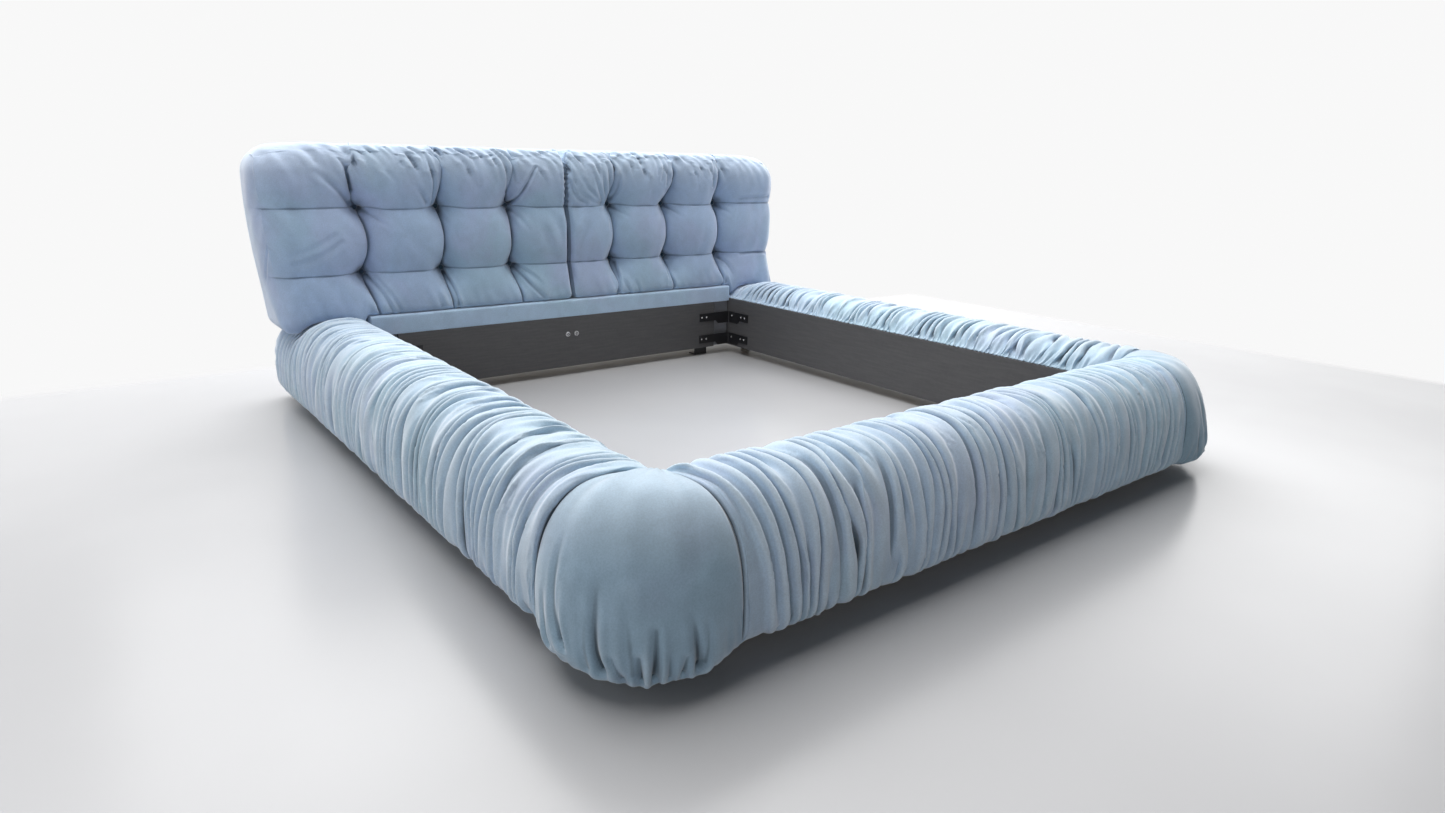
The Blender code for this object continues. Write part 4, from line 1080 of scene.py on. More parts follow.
def cushion_form(points, sign):
    """The plump form of a headboard half, on its right-hand side of the bed, and where it faces the front."""
    across, height = points[:, 0], points[:, 2]
    low_round = np.repeat([LOW_ROUND], len(points), axis=0)
    low_round[:, 1] += OUTER_ROUND * grown(across, OUTER_ROUND_STRETCH)
    near_hem = 1 - smoothstep((height - CUSHION_LOW) / HEM_ROUND_REACH)
    low_round[:, 1] += (HEM_ROUND - low_round[:, 1]) * near_hem
    high_round = np.repeat([HIGH_ROUND], len(points), axis=0)
    high_round[:, 0] -= HEM_END_ROUND * (1 - smoothstep((height - CUSHION_LOW) / HEM_END_REACH))
    form, offset = smooth_box(points, low_round, high_round)
    end, back, top = np.clip(offset, 0, 1).T
    front = np.clip(-offset[:, 1], 0, 1)
    form[:, 1] += front * tuft_depth(across, height, sign) + (1 - back) * lean_at(height) * front
    outward = np.clip((across - BUTTON_COLUMNS[-1]) / (CUSHION_HALF_WIDTH - BUTTON_COLUMNS[-1]), 0, 1)
    upward = np.clip((height - CUSHION_LOW) / (HEADBOARD_TOP - CUSHION_LOW), 0, 1)
    form[:, 0] += CUSHION_SPREAD * outward * np.sin(np.pi * CUSHION_SPREAD_SHARE * upward)
    form[:, 2] -= hem_drop(form[:, 0], height)
    form[:, 2] -= SHOULDER_DROP * grown(across, SHOULDER_ACROSS) * grown(height, SHOULDER_UP)
    behind = smoothstep((points[:, 1] - CUSHION_FRONT) / BEHIND_REACH)
    beside = to_creases(across, height, sign)
    between = smoothstep(beside / ROW_SAG_REACH) * (across < BUTTON_COLUMNS[-1])
    form[:, 2] -= ROW_SAG * front * between * bell(height - BUTTON_ROWS[1], ROW_SAG_WIDTH)
    form[:, 2] -= TOP_DIP * top * (1 - behind) * fall(beside, TOP_DIP_WIDTH) ** 2
    above = to_nearest(height, BUTTON_ROWS)
    form[:, 0] -= END_DIP * end * (1 - behind) * fall(above, END_DIP_WIDTH) ** 2
    return form, front


# The leather of a cushion: how it settles over its form

LATTICE_PULLS = (1.0, 0.8, 1.0)
LATTICE_SHEAR = 0.15
LATTICE_STIFFNESS = 0.12
CUSHION_HOLD = 0.10
CUSHION_STEPS = 140
CUSHION_LOWEST = -0.016
CUSHION_HIGHEST = 0.014
CUSHION_HIGHEST_BEHIND = 0.008
FRONT_SHARE = 0.3
SEAT_FRONT_SHARE = 0.5
SEAT_RIM = 0.003
BACK_HELD = 0.045
UPPER_REACH = 0.20
LIVE_DEPTH = 0.26
NEAR_FOLD = 0.07
STRETCH_ALL = 0.03
STRETCH_ABOVE = 0.16
STRETCH_AWAY_SHARE = 0.35
STRETCH_BELOW = 0.10
STRETCH_AT_FOLDS = 0.05
STRETCH_UP = 0.025
PLEAT_SLANT = math.radians(-19)
PLEAT_GRAIN = (0.045, 0.30)
PLEAT_HEIGHT = 0.0035
PLEATS_ABOVE_SHARE = 0.8
PLEATS_BELOW_SHARE = 0.7
PLEATS_AWAY_SHARE = 0.30
SOFT_GRAIN = (0.09, 0.20)
SOFT_TURN = math.radians(25)
SOFT_HEIGHT = 0.0010


def vertex_normals(points, quads):
    """Unit normals at the points of a mesh of quads."""
    normal = np.zeros_like(points)
    for quad in quads:
        corners = points[quad]
        face = np.cross(corners[..., 2, :] - corners[..., 0, :], corners[..., 3, :] - corners[..., 1, :])
        for corner in range(4):
            for axis in range(3):
                found = np.bincount(quad[..., corner].ravel(), face[..., axis].ravel(), len(points))
                normal[:, axis] += found
    return normal / (lengths(normal)[:, None] + TINIEST)


def lattice_links(number, quads, form, stretch):
    """Links along the lattice and across its quads, in sets that share no point."""
    links = []
    for axis, strength in enumerate(LATTICE_PULLS):
        lanes = np.moveaxis(number, axis, 0)
        for start in (0, 1):
            first, second = lanes[start:-1:2], lanes[start + 1 :: 2]
            both = (first >= 0) & (second >= 0)
            links.append((first[both], second[both], strength))
    for quad in quads:
        for start in (0, 1):
            some = quad[start::2]
            links.append((some[..., 0].ravel(), some[..., 2].ravel(), LATTICE_SHEAR))
            links.append((some[..., 1].ravel(), some[..., 3].ravel(), LATTICE_SHEAR))
    made = []
    for first, second, strength in links:
        step = form[second] - form[first]
        share = np.abs(step) / (lengths(step)[:, None] + TINY)
        longer = 1 + ((stretch[first] + stretch[second]) / 2 * share[:, [0, 2]]).sum(axis=-1)
        made.append((first, second, (lengths(step) * longer).astype(np.float32), strength))
    return made


def lattice_bends(number, form):
    """Rows of three lattice points, in sets that share no point in one role."""
    bends = []
    for axis in range(3):
        lanes = np.moveaxis(number, axis, 0)
        rows = lanes[:-2], lanes[1:-1], lanes[2:]
        all_three = (rows[0] >= 0) & (rows[1] >= 0) & (rows[2] >= 0)
        first, middle, last = (row[all_three] for row in rows)
        curve = form[first] + form[last] - 2 * form[middle]
        bends.append((first, middle, last, curve.astype(np.float32), LATTICE_STIFFNESS))
    return bends


def cushion_cloth(points, number, quads, sign):
    """The leather of a half over its form, cut longer near the folds and seeded with slanting pleats."""
    form, front = cushion_form(points, sign)
    across, depth, height = points[:, 0], points[:, 1] - CUSHION_FRONT, points[:, 2]
    over_top = height + points[:, 1] - CUSHION_FRONT
    beside = to_creases(across, height, sign)
    near_fold = bell(beside, NEAR_FOLD)
    upper = smoothstep((height - BUTTON_ROWS[1]) / UPPER_REACH)
    lower = grown(BUTTON_ROWS[0] - height, BELOW_ROWS)
    live = fall(depth, LIVE_DEPTH)
    stretch = STRETCH_ALL + STRETCH_ABOVE * upper * at_least(STRETCH_AWAY_SHARE, near_fold)
    stretch = stretch + STRETCH_BELOW * lower * near_fold
    stretch = (stretch + STRETCH_AT_FOLDS * near_fold) * live
    pleats = sampled_noise(sign * across, over_top, PLEAT_GRAIN, SEEDS["cushion_pleats"] + sign, PLEAT_SLANT)
    soft = sampled_noise(across, over_top, SOFT_GRAIN, SEEDS["cushion_soft"] + sign, SOFT_TURN)
    pleated = PLEATS_ABOVE_SHARE * upper + PLEATS_BELOW_SHARE * lower
    rise = PLEAT_HEIGHT * pleats * pleated * (PLEATS_AWAY_SHARE + near_fold)
    rise = (rise + SOFT_HEIGHT * soft) * live
    seat = np.hypot(beside, to_nearest(height, BUTTON_ROWS)) < BUTTON_SEAT + SEAT_RIM
    hem = (height <= CUSHION_LOW + ROUNDING) | (across <= CUSHION_PARTING + ROUNDING)
    pinned = (seat & (front > SEAT_FRONT_SHARE)) | (points[:, 1] > BACK_Y - BACK_HELD) | hem
    mirror = np.array([sign, 1, 1])
    normal = (vertex_normals(form, quads) * mirror).astype(np.float32)
    form = (form * mirror).astype(np.float32)
    highest = np.where(front > FRONT_SHARE, CUSHION_HIGHEST, CUSHION_HIGHEST_BEHIND)
    return {
        "base": form,
        "normal": normal,
        "height": np.where(pinned, 0, rise).astype(np.float32),
        "lowest": CUSHION_LOWEST,
        "highest": highest.astype(np.float32),
        "links": lattice_links(number, quads, form, np.stack([stretch, STRETCH_UP * live], axis=-1)),
        "bends": lattice_bends(number, form),
        "orders": [],
        "pinned": pinned,
    }


# Fine folds of a cushion, pressed in after its leather has settled, and the shade painted along its lines,
# round its buttons and on its back

DETAIL_DEPTH = 0.10
CREASED_DEPTH = 0.12
GATHER_GRAIN = (0.050, 0.24)
GATHER_HEIGHT = 0.0030
GATHER_VALLEY_SHARE = 0.3
GATHER_PATCH_GRAIN = (0.16, 0.05)
GATHER_PATCH_LEAST = 0.35
GATHER_PATCH_MOST = 1.6
OUTER_GATHER_SHARE = 0.12
RIM_UP = (0.845, 0.11)
RIM_DEPTH = 0.16
INNER_STRETCH = (0.02, 0.06)
PUCKER_GRAIN = (0.024, 0.05)
PUCKER_HEIGHT = 0.0013
PUCKER_WIDTH = 0.022
PUCKER_UP = (0.72, 0.08)
NOTCH_DEPTH = 0.004
NOTCH_WIDTH = 0.0075
NOTCH_UP = (0.86, 0.06)
NOTCH_RUNS_OUT = (0.935, 0.045)
# Painted shade along the halves' parting, the stitched rows and the creases, round the buttons and on the
# backs of the cushions and the rail
PARTING_SHADE = 0.015
PARTING_SHADE_WIDTH = 0.0045
STITCH_SHADE = 0.009
STITCH_SHADE_WIDTH = 0.0050
CREASE_SHADE = 0.016
CREASE_SHADE_WIDTH = 0.0062
CREASE_SHADE_LEAST = 0.15
BUTTON_SHADE = 0.028
BUTTON_SHADE_WIDTH = 0.022
BACK_SHADE = 0.0080
BACK_SHADE_STRETCH = (BACK_Y - CUSHION_FRONT - 0.06, 0.05)

# Creases of the cushions besides the sewn ones: a line's points are across the bed and up over the top
CUSHION_CREASES = {
    -1: (
        (((-0.919, 0.846), (-0.927, 0.876), (-0.937, 0.926), (-0.962, 0.973)), 0.0065, 0.005, 0.004),
        (((-0.930, 0.800), (-0.971, 0.845), (-1.003, 0.880), (-1.038, 0.910)), 0.0110, 0.009, 0.003),
        (((-0.897, 1.030), (-0.870, 0.999), (-0.841, 0.947)), 0.0070, 0.002, 0.001),
        (((-0.905, 1.030), (-0.890, 1.007), (-0.887, 0.944)), 0.0065, 0.002, 0.002),
        (((-0.784, 1.073), (-0.767, 1.008), (-0.745, 0.930)), 0.0070, 0.005, 0.001),
        (((-0.892, 0.774), (-0.858, 0.746), (-0.809, 0.708)), 0.0085, 0.009, 0.001),
        (((-0.612, 0.800), (-0.608, 0.866), (-0.625, 0.919), (-0.643, 1.015)), 0.0065, 0.009, 0.005),
        (((-0.640, 0.800), (-0.661, 0.826), (-0.686, 0.859)), 0.0090, 0.007, 0.001),
        (((-0.692, 1.080), (-0.673, 1.038), (-0.652, 0.978), (-0.643, 0.931)), 0.0070, 0.005, 0.001),
        (((-0.575, 1.090), (-0.559, 1.049), (-0.552, 0.970), (-0.553, 0.917)), 0.0070, 0.006, 0.001),
        (((-0.520, 1.083), (-0.505, 1.040), (-0.501, 0.974)), 0.0080, 0.005, 0.001),
        (((-0.472, 1.056), (-0.454, 1.007), (-0.444, 0.957)), 0.0070, 0.005, 0.001),
        (((-0.435, 1.030), (-0.427, 0.940), (-0.414, 0.884)), 0.0075, 0.006, 0.001),
        (((-0.336, 1.080), (-0.318, 1.003), (-0.301, 0.943), (-0.275, 0.842)), 0.0085, 0.005, 0.004),
        (((-0.238, 0.990), (-0.243, 0.847)), 0.0075, 0.004, 0.002),
        (((-0.258, 0.783), (-0.229, 0.805), (-0.200, 0.858), (-0.156, 0.944)), 0.0062, 0.012, 0.007),
        (((-0.258, 0.755), (-0.250, 0.720), (-0.240, 0.675)), 0.0080, 0.008, 0.001),
        (((-0.250, 0.765), (-0.221, 0.721), (-0.199, 0.678)), 0.0080, 0.008, 0.001),
        (((-0.570, 0.765), (-0.558, 0.729), (-0.550, 0.700)), 0.0085, 0.007, 0.001),
        (((-0.890, 0.510), (-0.850, 0.440), (-0.829, 0.365)), 0.0070, 0.009, 0.006),
        (((-0.870, 0.510), (-0.825, 0.430), (-0.793, 0.362)), 0.0070, 0.005, 0.004),
        (((-0.570, 0.505), (-0.552, 0.440), (-0.548, 0.367)), 0.0065, 0.010, 0.008),
        (((-0.258, 0.515), (-0.234, 0.484), (-0.203, 0.426), (-0.151, 0.372)), 0.0075, 0.010, 0.004),
        (((-0.245, 0.520), (-0.199, 0.481), (-0.147, 0.423)), 0.0080, 0.008, 0.001),
        (((-1.191, 0.560), (-1.072, 0.590), (-0.989, 0.648)), 0.0120, 0.002, 0.003),
        (((-1.192, 0.590), (-1.075, 0.630), (-1.003, 0.675)), 0.0110, 0.001, 0.003),
        (((-1.242, 0.640), (-1.175, 0.600)), 0.0100, 0.003, 0.001),
    ),
    1: (
        (((0.225, 0.800), (0.195, 0.850), (0.187, 0.905), (0.180, 0.960)), 0.0065, 0.007, 0.004),
        (((0.275, 0.804), (0.293, 0.847), (0.293, 0.909)), 0.0070, 0.009, 0.002),
        (((0.200, 0.795), (0.169, 0.830), (0.150, 0.884), (0.123, 0.955)), 0.0085, 0.009, 0.002),
        (((0.190, 0.790), (0.107, 0.851), (0.078, 0.887)), 0.0085, 0.008, 0.001),
        (((0.180, 0.785), (0.089, 0.821), (0.030, 0.850)), 0.0090, 0.007, 0.001),
        (((0.012, 0.880), (0.037, 0.820), (0.095, 0.796)), 0.0085, 0.007, 0.004),
        (((0.235, 0.845), (0.224, 0.906), (0.204, 0.995)), 0.0065, 0.007, 0.004),
        (((0.374, 1.030), (0.379, 0.948)), 0.0080, 0.004, 0.001),
        (((0.550, 0.870), (0.552, 0.936), (0.545, 1.041)), 0.0075, 0.006, 0.003),
        (((0.492, 0.920), (0.490, 0.990), (0.481, 1.053)), 0.0070, 0.003, 0.003),
        (((0.515, 0.890), (0.528, 0.956), (0.516, 1.049)), 0.0070, 0.004, 0.003),
        (((0.841, 0.864), (0.839, 0.932), (0.839, 1.030)), 0.0065, 0.006, 0.003),
        (((0.999, 0.800), (1.072, 0.806), (1.180, 0.812)), 0.0080, 0.003, 0.005),
        (((1.008, 0.511), (1.082, 0.520), (1.190, 0.511)), 0.0080, 0.003, 0.005),
        (((0.277, 0.505), (0.266, 0.440), (0.256, 0.365)), 0.0062, 0.009, 0.009),
        (((0.560, 0.505), (0.545, 0.450), (0.538, 0.385)), 0.0065, 0.008, 0.004),
        (((0.920, 0.495), (0.945, 0.461), (0.965, 0.420)), 0.0085, 0.009, 0.002),
        (((0.286, 0.419), (0.312, 0.362)), 0.0075, 0.001, 0.006),
        (((0.339, 0.418), (0.366, 0.362)), 0.0075, 0.001, 0.006),
        (((0.243, 0.766), (0.232, 0.718), (0.228, 0.662)), 0.0065, 0.008, 0.002),
        (((0.592, 0.765), (0.640, 0.725)), 0.0085, 0.007, 0.001),
        (((0.920, 0.765), (0.955, 0.725)), 0.0085, 0.007, 0.001),
        (((0.274, 0.768), (0.330, 0.725)), 0.0085, 0.007, 0.001),
    ),
}

# Places of each half where a crease runs out softly: across, up over the top and reach
SOFT_SPOTS = {-1: ((0.915, 0.998, 0.042),), 1: ()}


def cushion_detail(mesh, sign):
    """Fine gathers under the top edge, puckers in the halves' seam, the creases round the buttons, and
    painted shade along its lines, round its buttons and on its back.
    """
    across, height, depth = (read_layer(mesh, name) for name in ("across", "height", "depth"))
    front = fall(depth, DETAIL_DEPTH)
    over_top = height + depth
    beside, above = to_creases(across, height, sign), to_nearest(height, BUTTON_ROWS)
    patches = sampled_noise(sign * across, over_top, GATHER_PATCH_GRAIN, SEEDS["gather_patches"] + sign)
    patches = GATHER_PATCH_LEAST + np.clip(patches, 0, GATHER_PATCH_MOST)
    fine = sampled_noise(sign * across, over_top, GATHER_GRAIN, SEEDS["top_gathers"] + sign, PLEAT_SLANT)
    fine = fine - GATHER_VALLEY_SHARE * (fine**2 - 1)
    rim = grown(height, RIM_UP) * fall(depth, RIM_DEPTH)
    inner = 1 - grown(across - BUTTON_COLUMNS[-1], INNER_STRETCH)
    rise = GATHER_HEIGHT * fine * patches * rim * at_least(OUTER_GATHER_SHARE, inner)
    pucker = sampled_noise(height, across, PUCKER_GRAIN, SEEDS["parting_puckers"] + sign)
    rise += PUCKER_HEIGHT * pucker * (bell(across, PUCKER_WIDTH) * grown(height, PUCKER_UP))
    lines = [([(sign * x, z) for x, z in line], *rest) for line, *rest in CUSHION_CREASES[sign]]
    rise += creased(across, over_top, lines) * (depth < CREASED_DEPTH)
    upper = grown(height, NOTCH_UP) * front
    runs_out = 1 - grown(height, NOTCH_RUNS_OUT)
    rise -= NOTCH_DEPTH * bell(beside, NOTCH_WIDTH) * upper * runs_out
    press(mesh, rise)
    fading = (1 - CREASE_LOSS_SHARE * upper) * at_least(CREASE_SHADE_LEAST, runs_out)
    to_button = np.hypot(to_nearest(across, BUTTON_COLUMNS), above)
    # Painted shade: along the stitched rows, the creases and the halves' parting, round the buttons and on
    # the back
    sewn = STITCH_SHADE * bell(above, STITCH_SHADE_WIDTH) * front
    sewn += CREASE_SHADE * bell(beside, CREASE_SHADE_WIDTH) * front * fading
    sewn += PARTING_SHADE * bell(across, PARTING_SHADE_WIDTH) * front
    sewn += BUTTON_SHADE * bell(to_button, BUTTON_SHADE_WIDTH) * front
    sewn += BACK_SHADE * grown(depth, BACK_SHADE_STRETCH)
    shade(mesh, sewn)
    soft = np.zeros(len(across), bool)
    for place, level, reach in SOFT_SPOTS[sign]:
        soft |= (np.hypot(across - place, over_top - level) < reach) & (depth < reach)
    untangle(mesh, soft)


def headboard_half(side, sign, material):
    """A tufted headboard half, settled into pleats above, below and round its buttons."""
    lines = [
        graded_lines(CUSHION_PARTING, CUSHION_HALF_WIDTH, [*BUTTON_COLUMNS, 0.0], *CUSHION_ACROSS),
        graded_lines(CUSHION_FRONT, CUSHION_BACK, [CUSHION_FRONT], *CUSHION_DEEP),
        graded_lines(CUSHION_LOW, HEADBOARD_TOP, BUTTON_ROWS, *CUSHION_UP),
    ]
    points, number, quads = box_lattice(lines)
    settled, ridge = settle(cushion_cloth(points, number, quads, sign), CUSHION_STEPS, CUSHION_HOLD)
    faces = np.concatenate([quad.reshape(-1, 4) for quad in quads])
    if sign < 0:
        faces = faces[:, ::-1]
    piece = mesh_piece(f"tufted_cushion_{side}", settled, faces, [material], ridge)
    places = (points[:, 0], points[:, 2], points[:, 1] - CUSHION_FRONT)
    for name, values in zip(("across", "height", "depth"), places):
        write_layer(piece.data, name, values)
    cushion_detail(smoothed(piece), sign)
    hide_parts(f"headboard_{side}")


# Head rail

RAIL_ROWS = 240
RAIL_RADIUS = 0.010
RAIL_ARC_POINTS = 6
RAIL_INSIDE_POINTS = 4
RAIL_WALL = 0.0065
RAIL_BOTTOM = 0.041
RAIL_SET_BACK = 0.003
RAIL_GRAIN = (0.11, 0.05)
RAIL_WAVE_HEIGHT = 0.0009
RAIL_WAVE_LOWEST = -0.0012
RAIL_WAVE_HIGHEST = 0.0016
RAIL_WAVE_SPREAD = 0.6
RAIL_WAVE_COLUMNS = 16
RAIL_WAVE_PITCH = 0.01
BAND_ABOVE_BOARD = 0.004
BAND_BELOW_TOP = 0.002
CAP_REACH = 0.0012
CAP_LIFT = 0.0006
CAP_BELOW_BOARD_TOP = 0.02
RAIL_SHARP = math.radians(50)


def rail_outline():
    """The rail leather's closed section, as depth and height: up its front, over the top and down inside."""
    front, band = HEAD_Y + BOARD_THICKNESS + CLOSE_GAP, HEAD_Y + RAIL_SET_BACK
    radius, wall = RAIL_RADIUS, RAIL_WALL
    outline = [(front, RAIL_BOTTOM), (front, HEAD_BOARD_TOP + SEAM_GAP), (band, HEAD_BOARD_TOP + SEAM_GAP)]
    for share in np.linspace(0, 1, RAIL_ARC_POINTS)[1:-1]:
        outline.append((band, HEAD_BOARD_TOP + (RAIL_TOP - radius - HEAD_BOARD_TOP) * share))
    turns = np.linspace(0, math.pi / 2, RAIL_ARC_POINTS)
    for turn in turns:
        outline.append((band + radius * (1 - math.cos(turn)), RAIL_TOP - radius * (1 - math.sin(turn))))
    for turn in turns:
        outline.append((BACK_Y - radius * (1 - math.sin(turn)), RAIL_TOP - radius * (1 - math.cos(turn))))
    outline += [(BACK_Y, RAIL_BOTTOM), (BACK_Y - wall, RAIL_BOTTOM), (BACK_Y - wall, RAIL_TOP - wall)]
    outline += [(front + wall, RAIL_TOP - wall), (front + wall, RAIL_BOTTOM)]
    return np.array(outline), front


def rail_grid(outline, front):
    """The rail leather along its length, a little uneven in the band above the head board."""
    x = np.linspace(-RAIL_HALF_WIDTH, RAIL_HALF_WIDTH, RAIL_ROWS)
    base = np.zeros((len(x), len(outline), 3))
    base[..., 0] = x[:, None]
    base[..., 1:] = outline[None]
    size, pitch = (len(x), RAIL_WAVE_COLUMNS), (x[1] - x[0], RAIL_WAVE_PITCH)
    waves = band_noise(size, pitch, RAIL_GRAIN, RAIL_WAVE_SPREAD, SEEDS["rail_waves"])[:, 0]
    band = (outline[:, 0] < front) & (outline[:, 1] > HEAD_BOARD_TOP + BAND_ABOVE_BOARD)
    band &= outline[:, 1] < RAIL_TOP - BAND_BELOW_TOP
    base[:, band, 1] += np.clip(RAIL_WAVE_HEIGHT * waves, RAIL_WAVE_LOWEST, RAIL_WAVE_HIGHEST)[:, None]
    return np.concatenate([base, base[:, :1]], axis=1)


def head_rail_band(material, lining):
    """The rail's leather: a padded band above the head board, its ends closed above the side boards, with
    painted shade on its back.
    """
    outline, front = rail_outline()
    grid = rail_grid(outline, front)
    rows, columns = grid.shape[:2]
    quads = grid_quads(rows, columns, False)
    faces = [tuple(quad) for quad in quads]
    outside = outline[:-RAIL_INSIDE_POINTS, 1]
    above = np.flatnonzero(outside > BOARD_TOP - CAP_BELOW_BOARD_TOP)
    points = grid.reshape(-1, 3)
    for row, sign in ((0, -1), (rows - 1, 1)):
        cap = grid[row, above]
        cap[:, 0] = sign * (RAIL_HALF_WIDTH + CAP_REACH)
        cap[:, 2] = np.maximum(cap[:, 2], BOARD_TOP + CAP_LIFT)
        order = range(len(points), len(points) + len(above))
        points = np.concatenate([points, cap])
        faces.append(tuple(order) if sign < 0 else tuple(reversed(order)))
    # Painted shade on the back of the rail
    ridge = np.where(points[:, 1] > BACK_Y - RAIL_RADIUS, -BACK_SHADE, 0)
    piece = mesh_piece("rail_band", points, faces, [material, lining], ridge)
    for index in range(0, len(quads), len(outline)):
        piece.data.polygons[index].material_index = 1
    piece.data.set_sharp_from_angle(angle=RAIL_SHARP)
    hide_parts("head_rail_cover")


# Small turned fittings. A profile's rows are radius and height over the seat

BUTTON_SIDES = 28
BUTTON_WOBBLE = 0.012
BUTTON_WOBBLES = 3
BUTTON_WOBBLE_TURN = 0.3
BUTTON_PROFILE = (
    (0.0, 0.0072),
    (0.004, 0.0069),
    (0.0075, 0.0058),
    (0.0098, 0.0038),
    (0.0108, 0.0018),
    (0.0106, 0.0004),
    (0.0095, 0.0),
)
SCREW_SIDES = 14
SCREW_PROFILE = ((0.0016, 0.0022), (0.0034, 0.0016), (0.0046, 0.0004), (0.0047, -0.0004))
BRACKET_TOPS = {"upper": 0.222, "lower": 0.107}
SCREW_DROP = 0.021
END_SCREW_REACHES = (0.153, 0.123)
END_SCREW_INSET = 0.03
END_SCREW_FACE = 0.0043
SIDE_SCREW_REACHES = (0.135, 0.105, 0.030)
SIDE_SCREW_FACE = 0.0046
CAP_SIDES = 24
CAP_PROFILE = ((0.0031, -0.0003), (0.0031, 0.0003), (0.0054, 0.0004), (0.0060, 0.0001), (0.0061, -0.0003))


def turned_quads(rings, sides, first=0):
    """Quads between rings of points that each have as many sides."""
    quads = []
    for ring in range(rings - 1):
        low, high = first + ring * sides, first + (ring + 1) * sides
        for step in range(sides):
            after = (step + 1) % sides
            quads.append((low + step, high + step, high + after, low + after))
    return quads


def circle(sides):
    return [2 * math.pi * step / sides for step in range(sides)]


def tuft_buttons(material):
    """Leather covered buttons with a pressed rim, each a little out of true."""
    draw = np.random.default_rng(SEEDS["buttons"])
    rings = len(BUTTON_PROFILE)
    quads = turned_quads(rings, BUTTON_SIDES)
    quads.append(tuple((rings - 1) * BUTTON_SIDES + step for step in range(BUTTON_SIDES)))
    for side, sign in SIDES:
        for row_name, row in zip(("lower", "upper"), BUTTON_ROWS):
            for name, column in zip(("inner", "middle", "outer"), BUTTON_COLUMNS):
                points = []
                for radius, rise in BUTTON_PROFILE:
                    for turn in circle(BUTTON_SIDES):
                        phase = draw.uniform(0, BUTTON_WOBBLE_TURN)
                        out = radius * (1 + BUTTON_WOBBLE * math.sin(BUTTON_WOBBLES * turn + phase))
                        points.append((out * math.cos(turn), -rise, out * math.sin(turn)))
                depth = CUSHION_FRONT + lean_at(row) + TUFT_DEPTH - CLOSE_GAP
                points = np.array(points) + np.array([sign * column, depth, row])
                node = f"tuft_button_{side}_{row_name}_{name}"
                piece = mesh_piece(f"covered_{node}", points, quads, [material])
                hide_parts(node)


def screw_spots(end_y, facing, sign):
    """Where a bracket's screws sit and the way that their heads face, on its end leg and its side leg."""
    for reach in END_SCREW_REACHES:
        place = (sign * (WELL_HALF_WIDTH - reach - END_SCREW_INSET), end_y + facing * END_SCREW_FACE)
        yield place, (0, facing)
    for reach in SIDE_SCREW_REACHES:
        place = (sign * (WELL_HALF_WIDTH - SIDE_SCREW_FACE), end_y + facing * reach)
        yield place, (-sign, 0)


def bracket_screws(material):
    """Dome headed screws through the corner brackets, all one piece to a bracket."""
    rings = len(SCREW_PROFILE)
    for end, end_y, facing in (("head", HEAD_Y, -1), ("foot", FOOT_Y, 1)):
        for side, sign in SIDES:
            for level, top in BRACKET_TOPS.items():
                points, quads = [], []
                for (x, y), (out_x, out_y) in screw_spots(end_y, facing, sign):
                    first = len(points)
                    for radius, rise in SCREW_PROFILE:
                        for turn in circle(SCREW_SIDES):
                            beside, up = radius * math.cos(turn), radius * math.sin(turn)
                            across = x + (out_x * rise if out_x else beside)
                            along = y + (out_y * rise if out_y else beside)
                            points.append((across, along, top - SCREW_DROP + up))
                    quads += turned_quads(rings, SCREW_SIDES, first)
                    quads.append(tuple(first + step for step in range(SCREW_SIDES)))
                piece = mesh_piece(f"screws_{end}_{side}_{level}", np.array(points), quads, [material])


def bolt_caps(material):
    """A dark ring on the head of each of the two bolts through the head board, round its socket."""
    quads = turned_quads(len(CAP_PROFILE), CAP_SIDES)
    for side, _ in SIDES:
        low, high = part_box(f"head_bolt_{side}")
        middle_x, middle_z = (low[0] + high[0]) / 2, (low[2] + high[2]) / 2
        points = []
        for radius, rise in CAP_PROFILE:
            for turn in circle(CAP_SIDES):
                across, up = radius * math.cos(turn), radius * math.sin(turn)
                points.append((middle_x + across, low[1] - rise, middle_z + up))
        piece = mesh_piece(f"bolt_cap_{side}", np.array(points), quads, [material])


# Materials


class Nodes:
    """Short calls to build a material's node tree."""

    def __init__(self, name):
        self.material = bpy.data.materials.new(name)
        self.material.use_nodes = True
        self.tree = self.material.node_tree
        self.shader = self.tree.nodes["Principled BSDF"]
        self.place = self.add("ShaderNodeTexCoord").outputs["Object"]

    def feed(self, socket, value):
        if isinstance(value, bpy.types.NodeSocket):
            self.tree.links.new(value, socket)
        else:
            socket.default_value = value

    def add(self, kind, inputs=None, **settings):
        made = self.tree.nodes.new(kind)
        for key, value in settings.items():
            setattr(made, key, value)
        for key, value in (inputs or {}).items():
            self.feed(made.inputs[key], value)
        return made

    def noise(self, scale, detail=4.0, roughness=0.55, distortion=0.0, stretch=None):
        inputs = {"Scale": scale, "Detail": detail, "Roughness": roughness, "Distortion": distortion}
        vector = self.place
        if stretch:
            vector = self.add("ShaderNodeMapping", {"Vector": vector, "Scale": stretch}).outputs["Vector"]
        return self.add("ShaderNodeTexNoise", {"Vector": vector, **inputs}).outputs["Fac"]

    def ranged(self, value, low, high, to_low=0.0, to_high=1.0):
        names = {"Value": value, "From Min": low, "From Max": high, "To Min": to_low, "To Max": to_high}
        return self.add("ShaderNodeMapRange", names, interpolation_type="SMOOTHSTEP").outputs["Result"]

    def mix(self, factor, first, second, blend="MIX"):
        inputs = {0: factor, 6: first, 7: second}
        return self.add("ShaderNodeMix", inputs, data_type="RGBA", blend_type=blend).outputs[2]

    def combine(self, first, second, operation):
        return self.add("ShaderNodeMath", {0: first, 1: second}, operation=operation).outputs[0]

    def bump(self, height, strength, distance):
        made = self.add("ShaderNodeBump", {"Height": height, "Strength": strength, "Distance": distance})
        self.set("Normal", made.outputs["Normal"])

    def set(self, name, value):
        self.feed(self.shader.inputs[name], value)


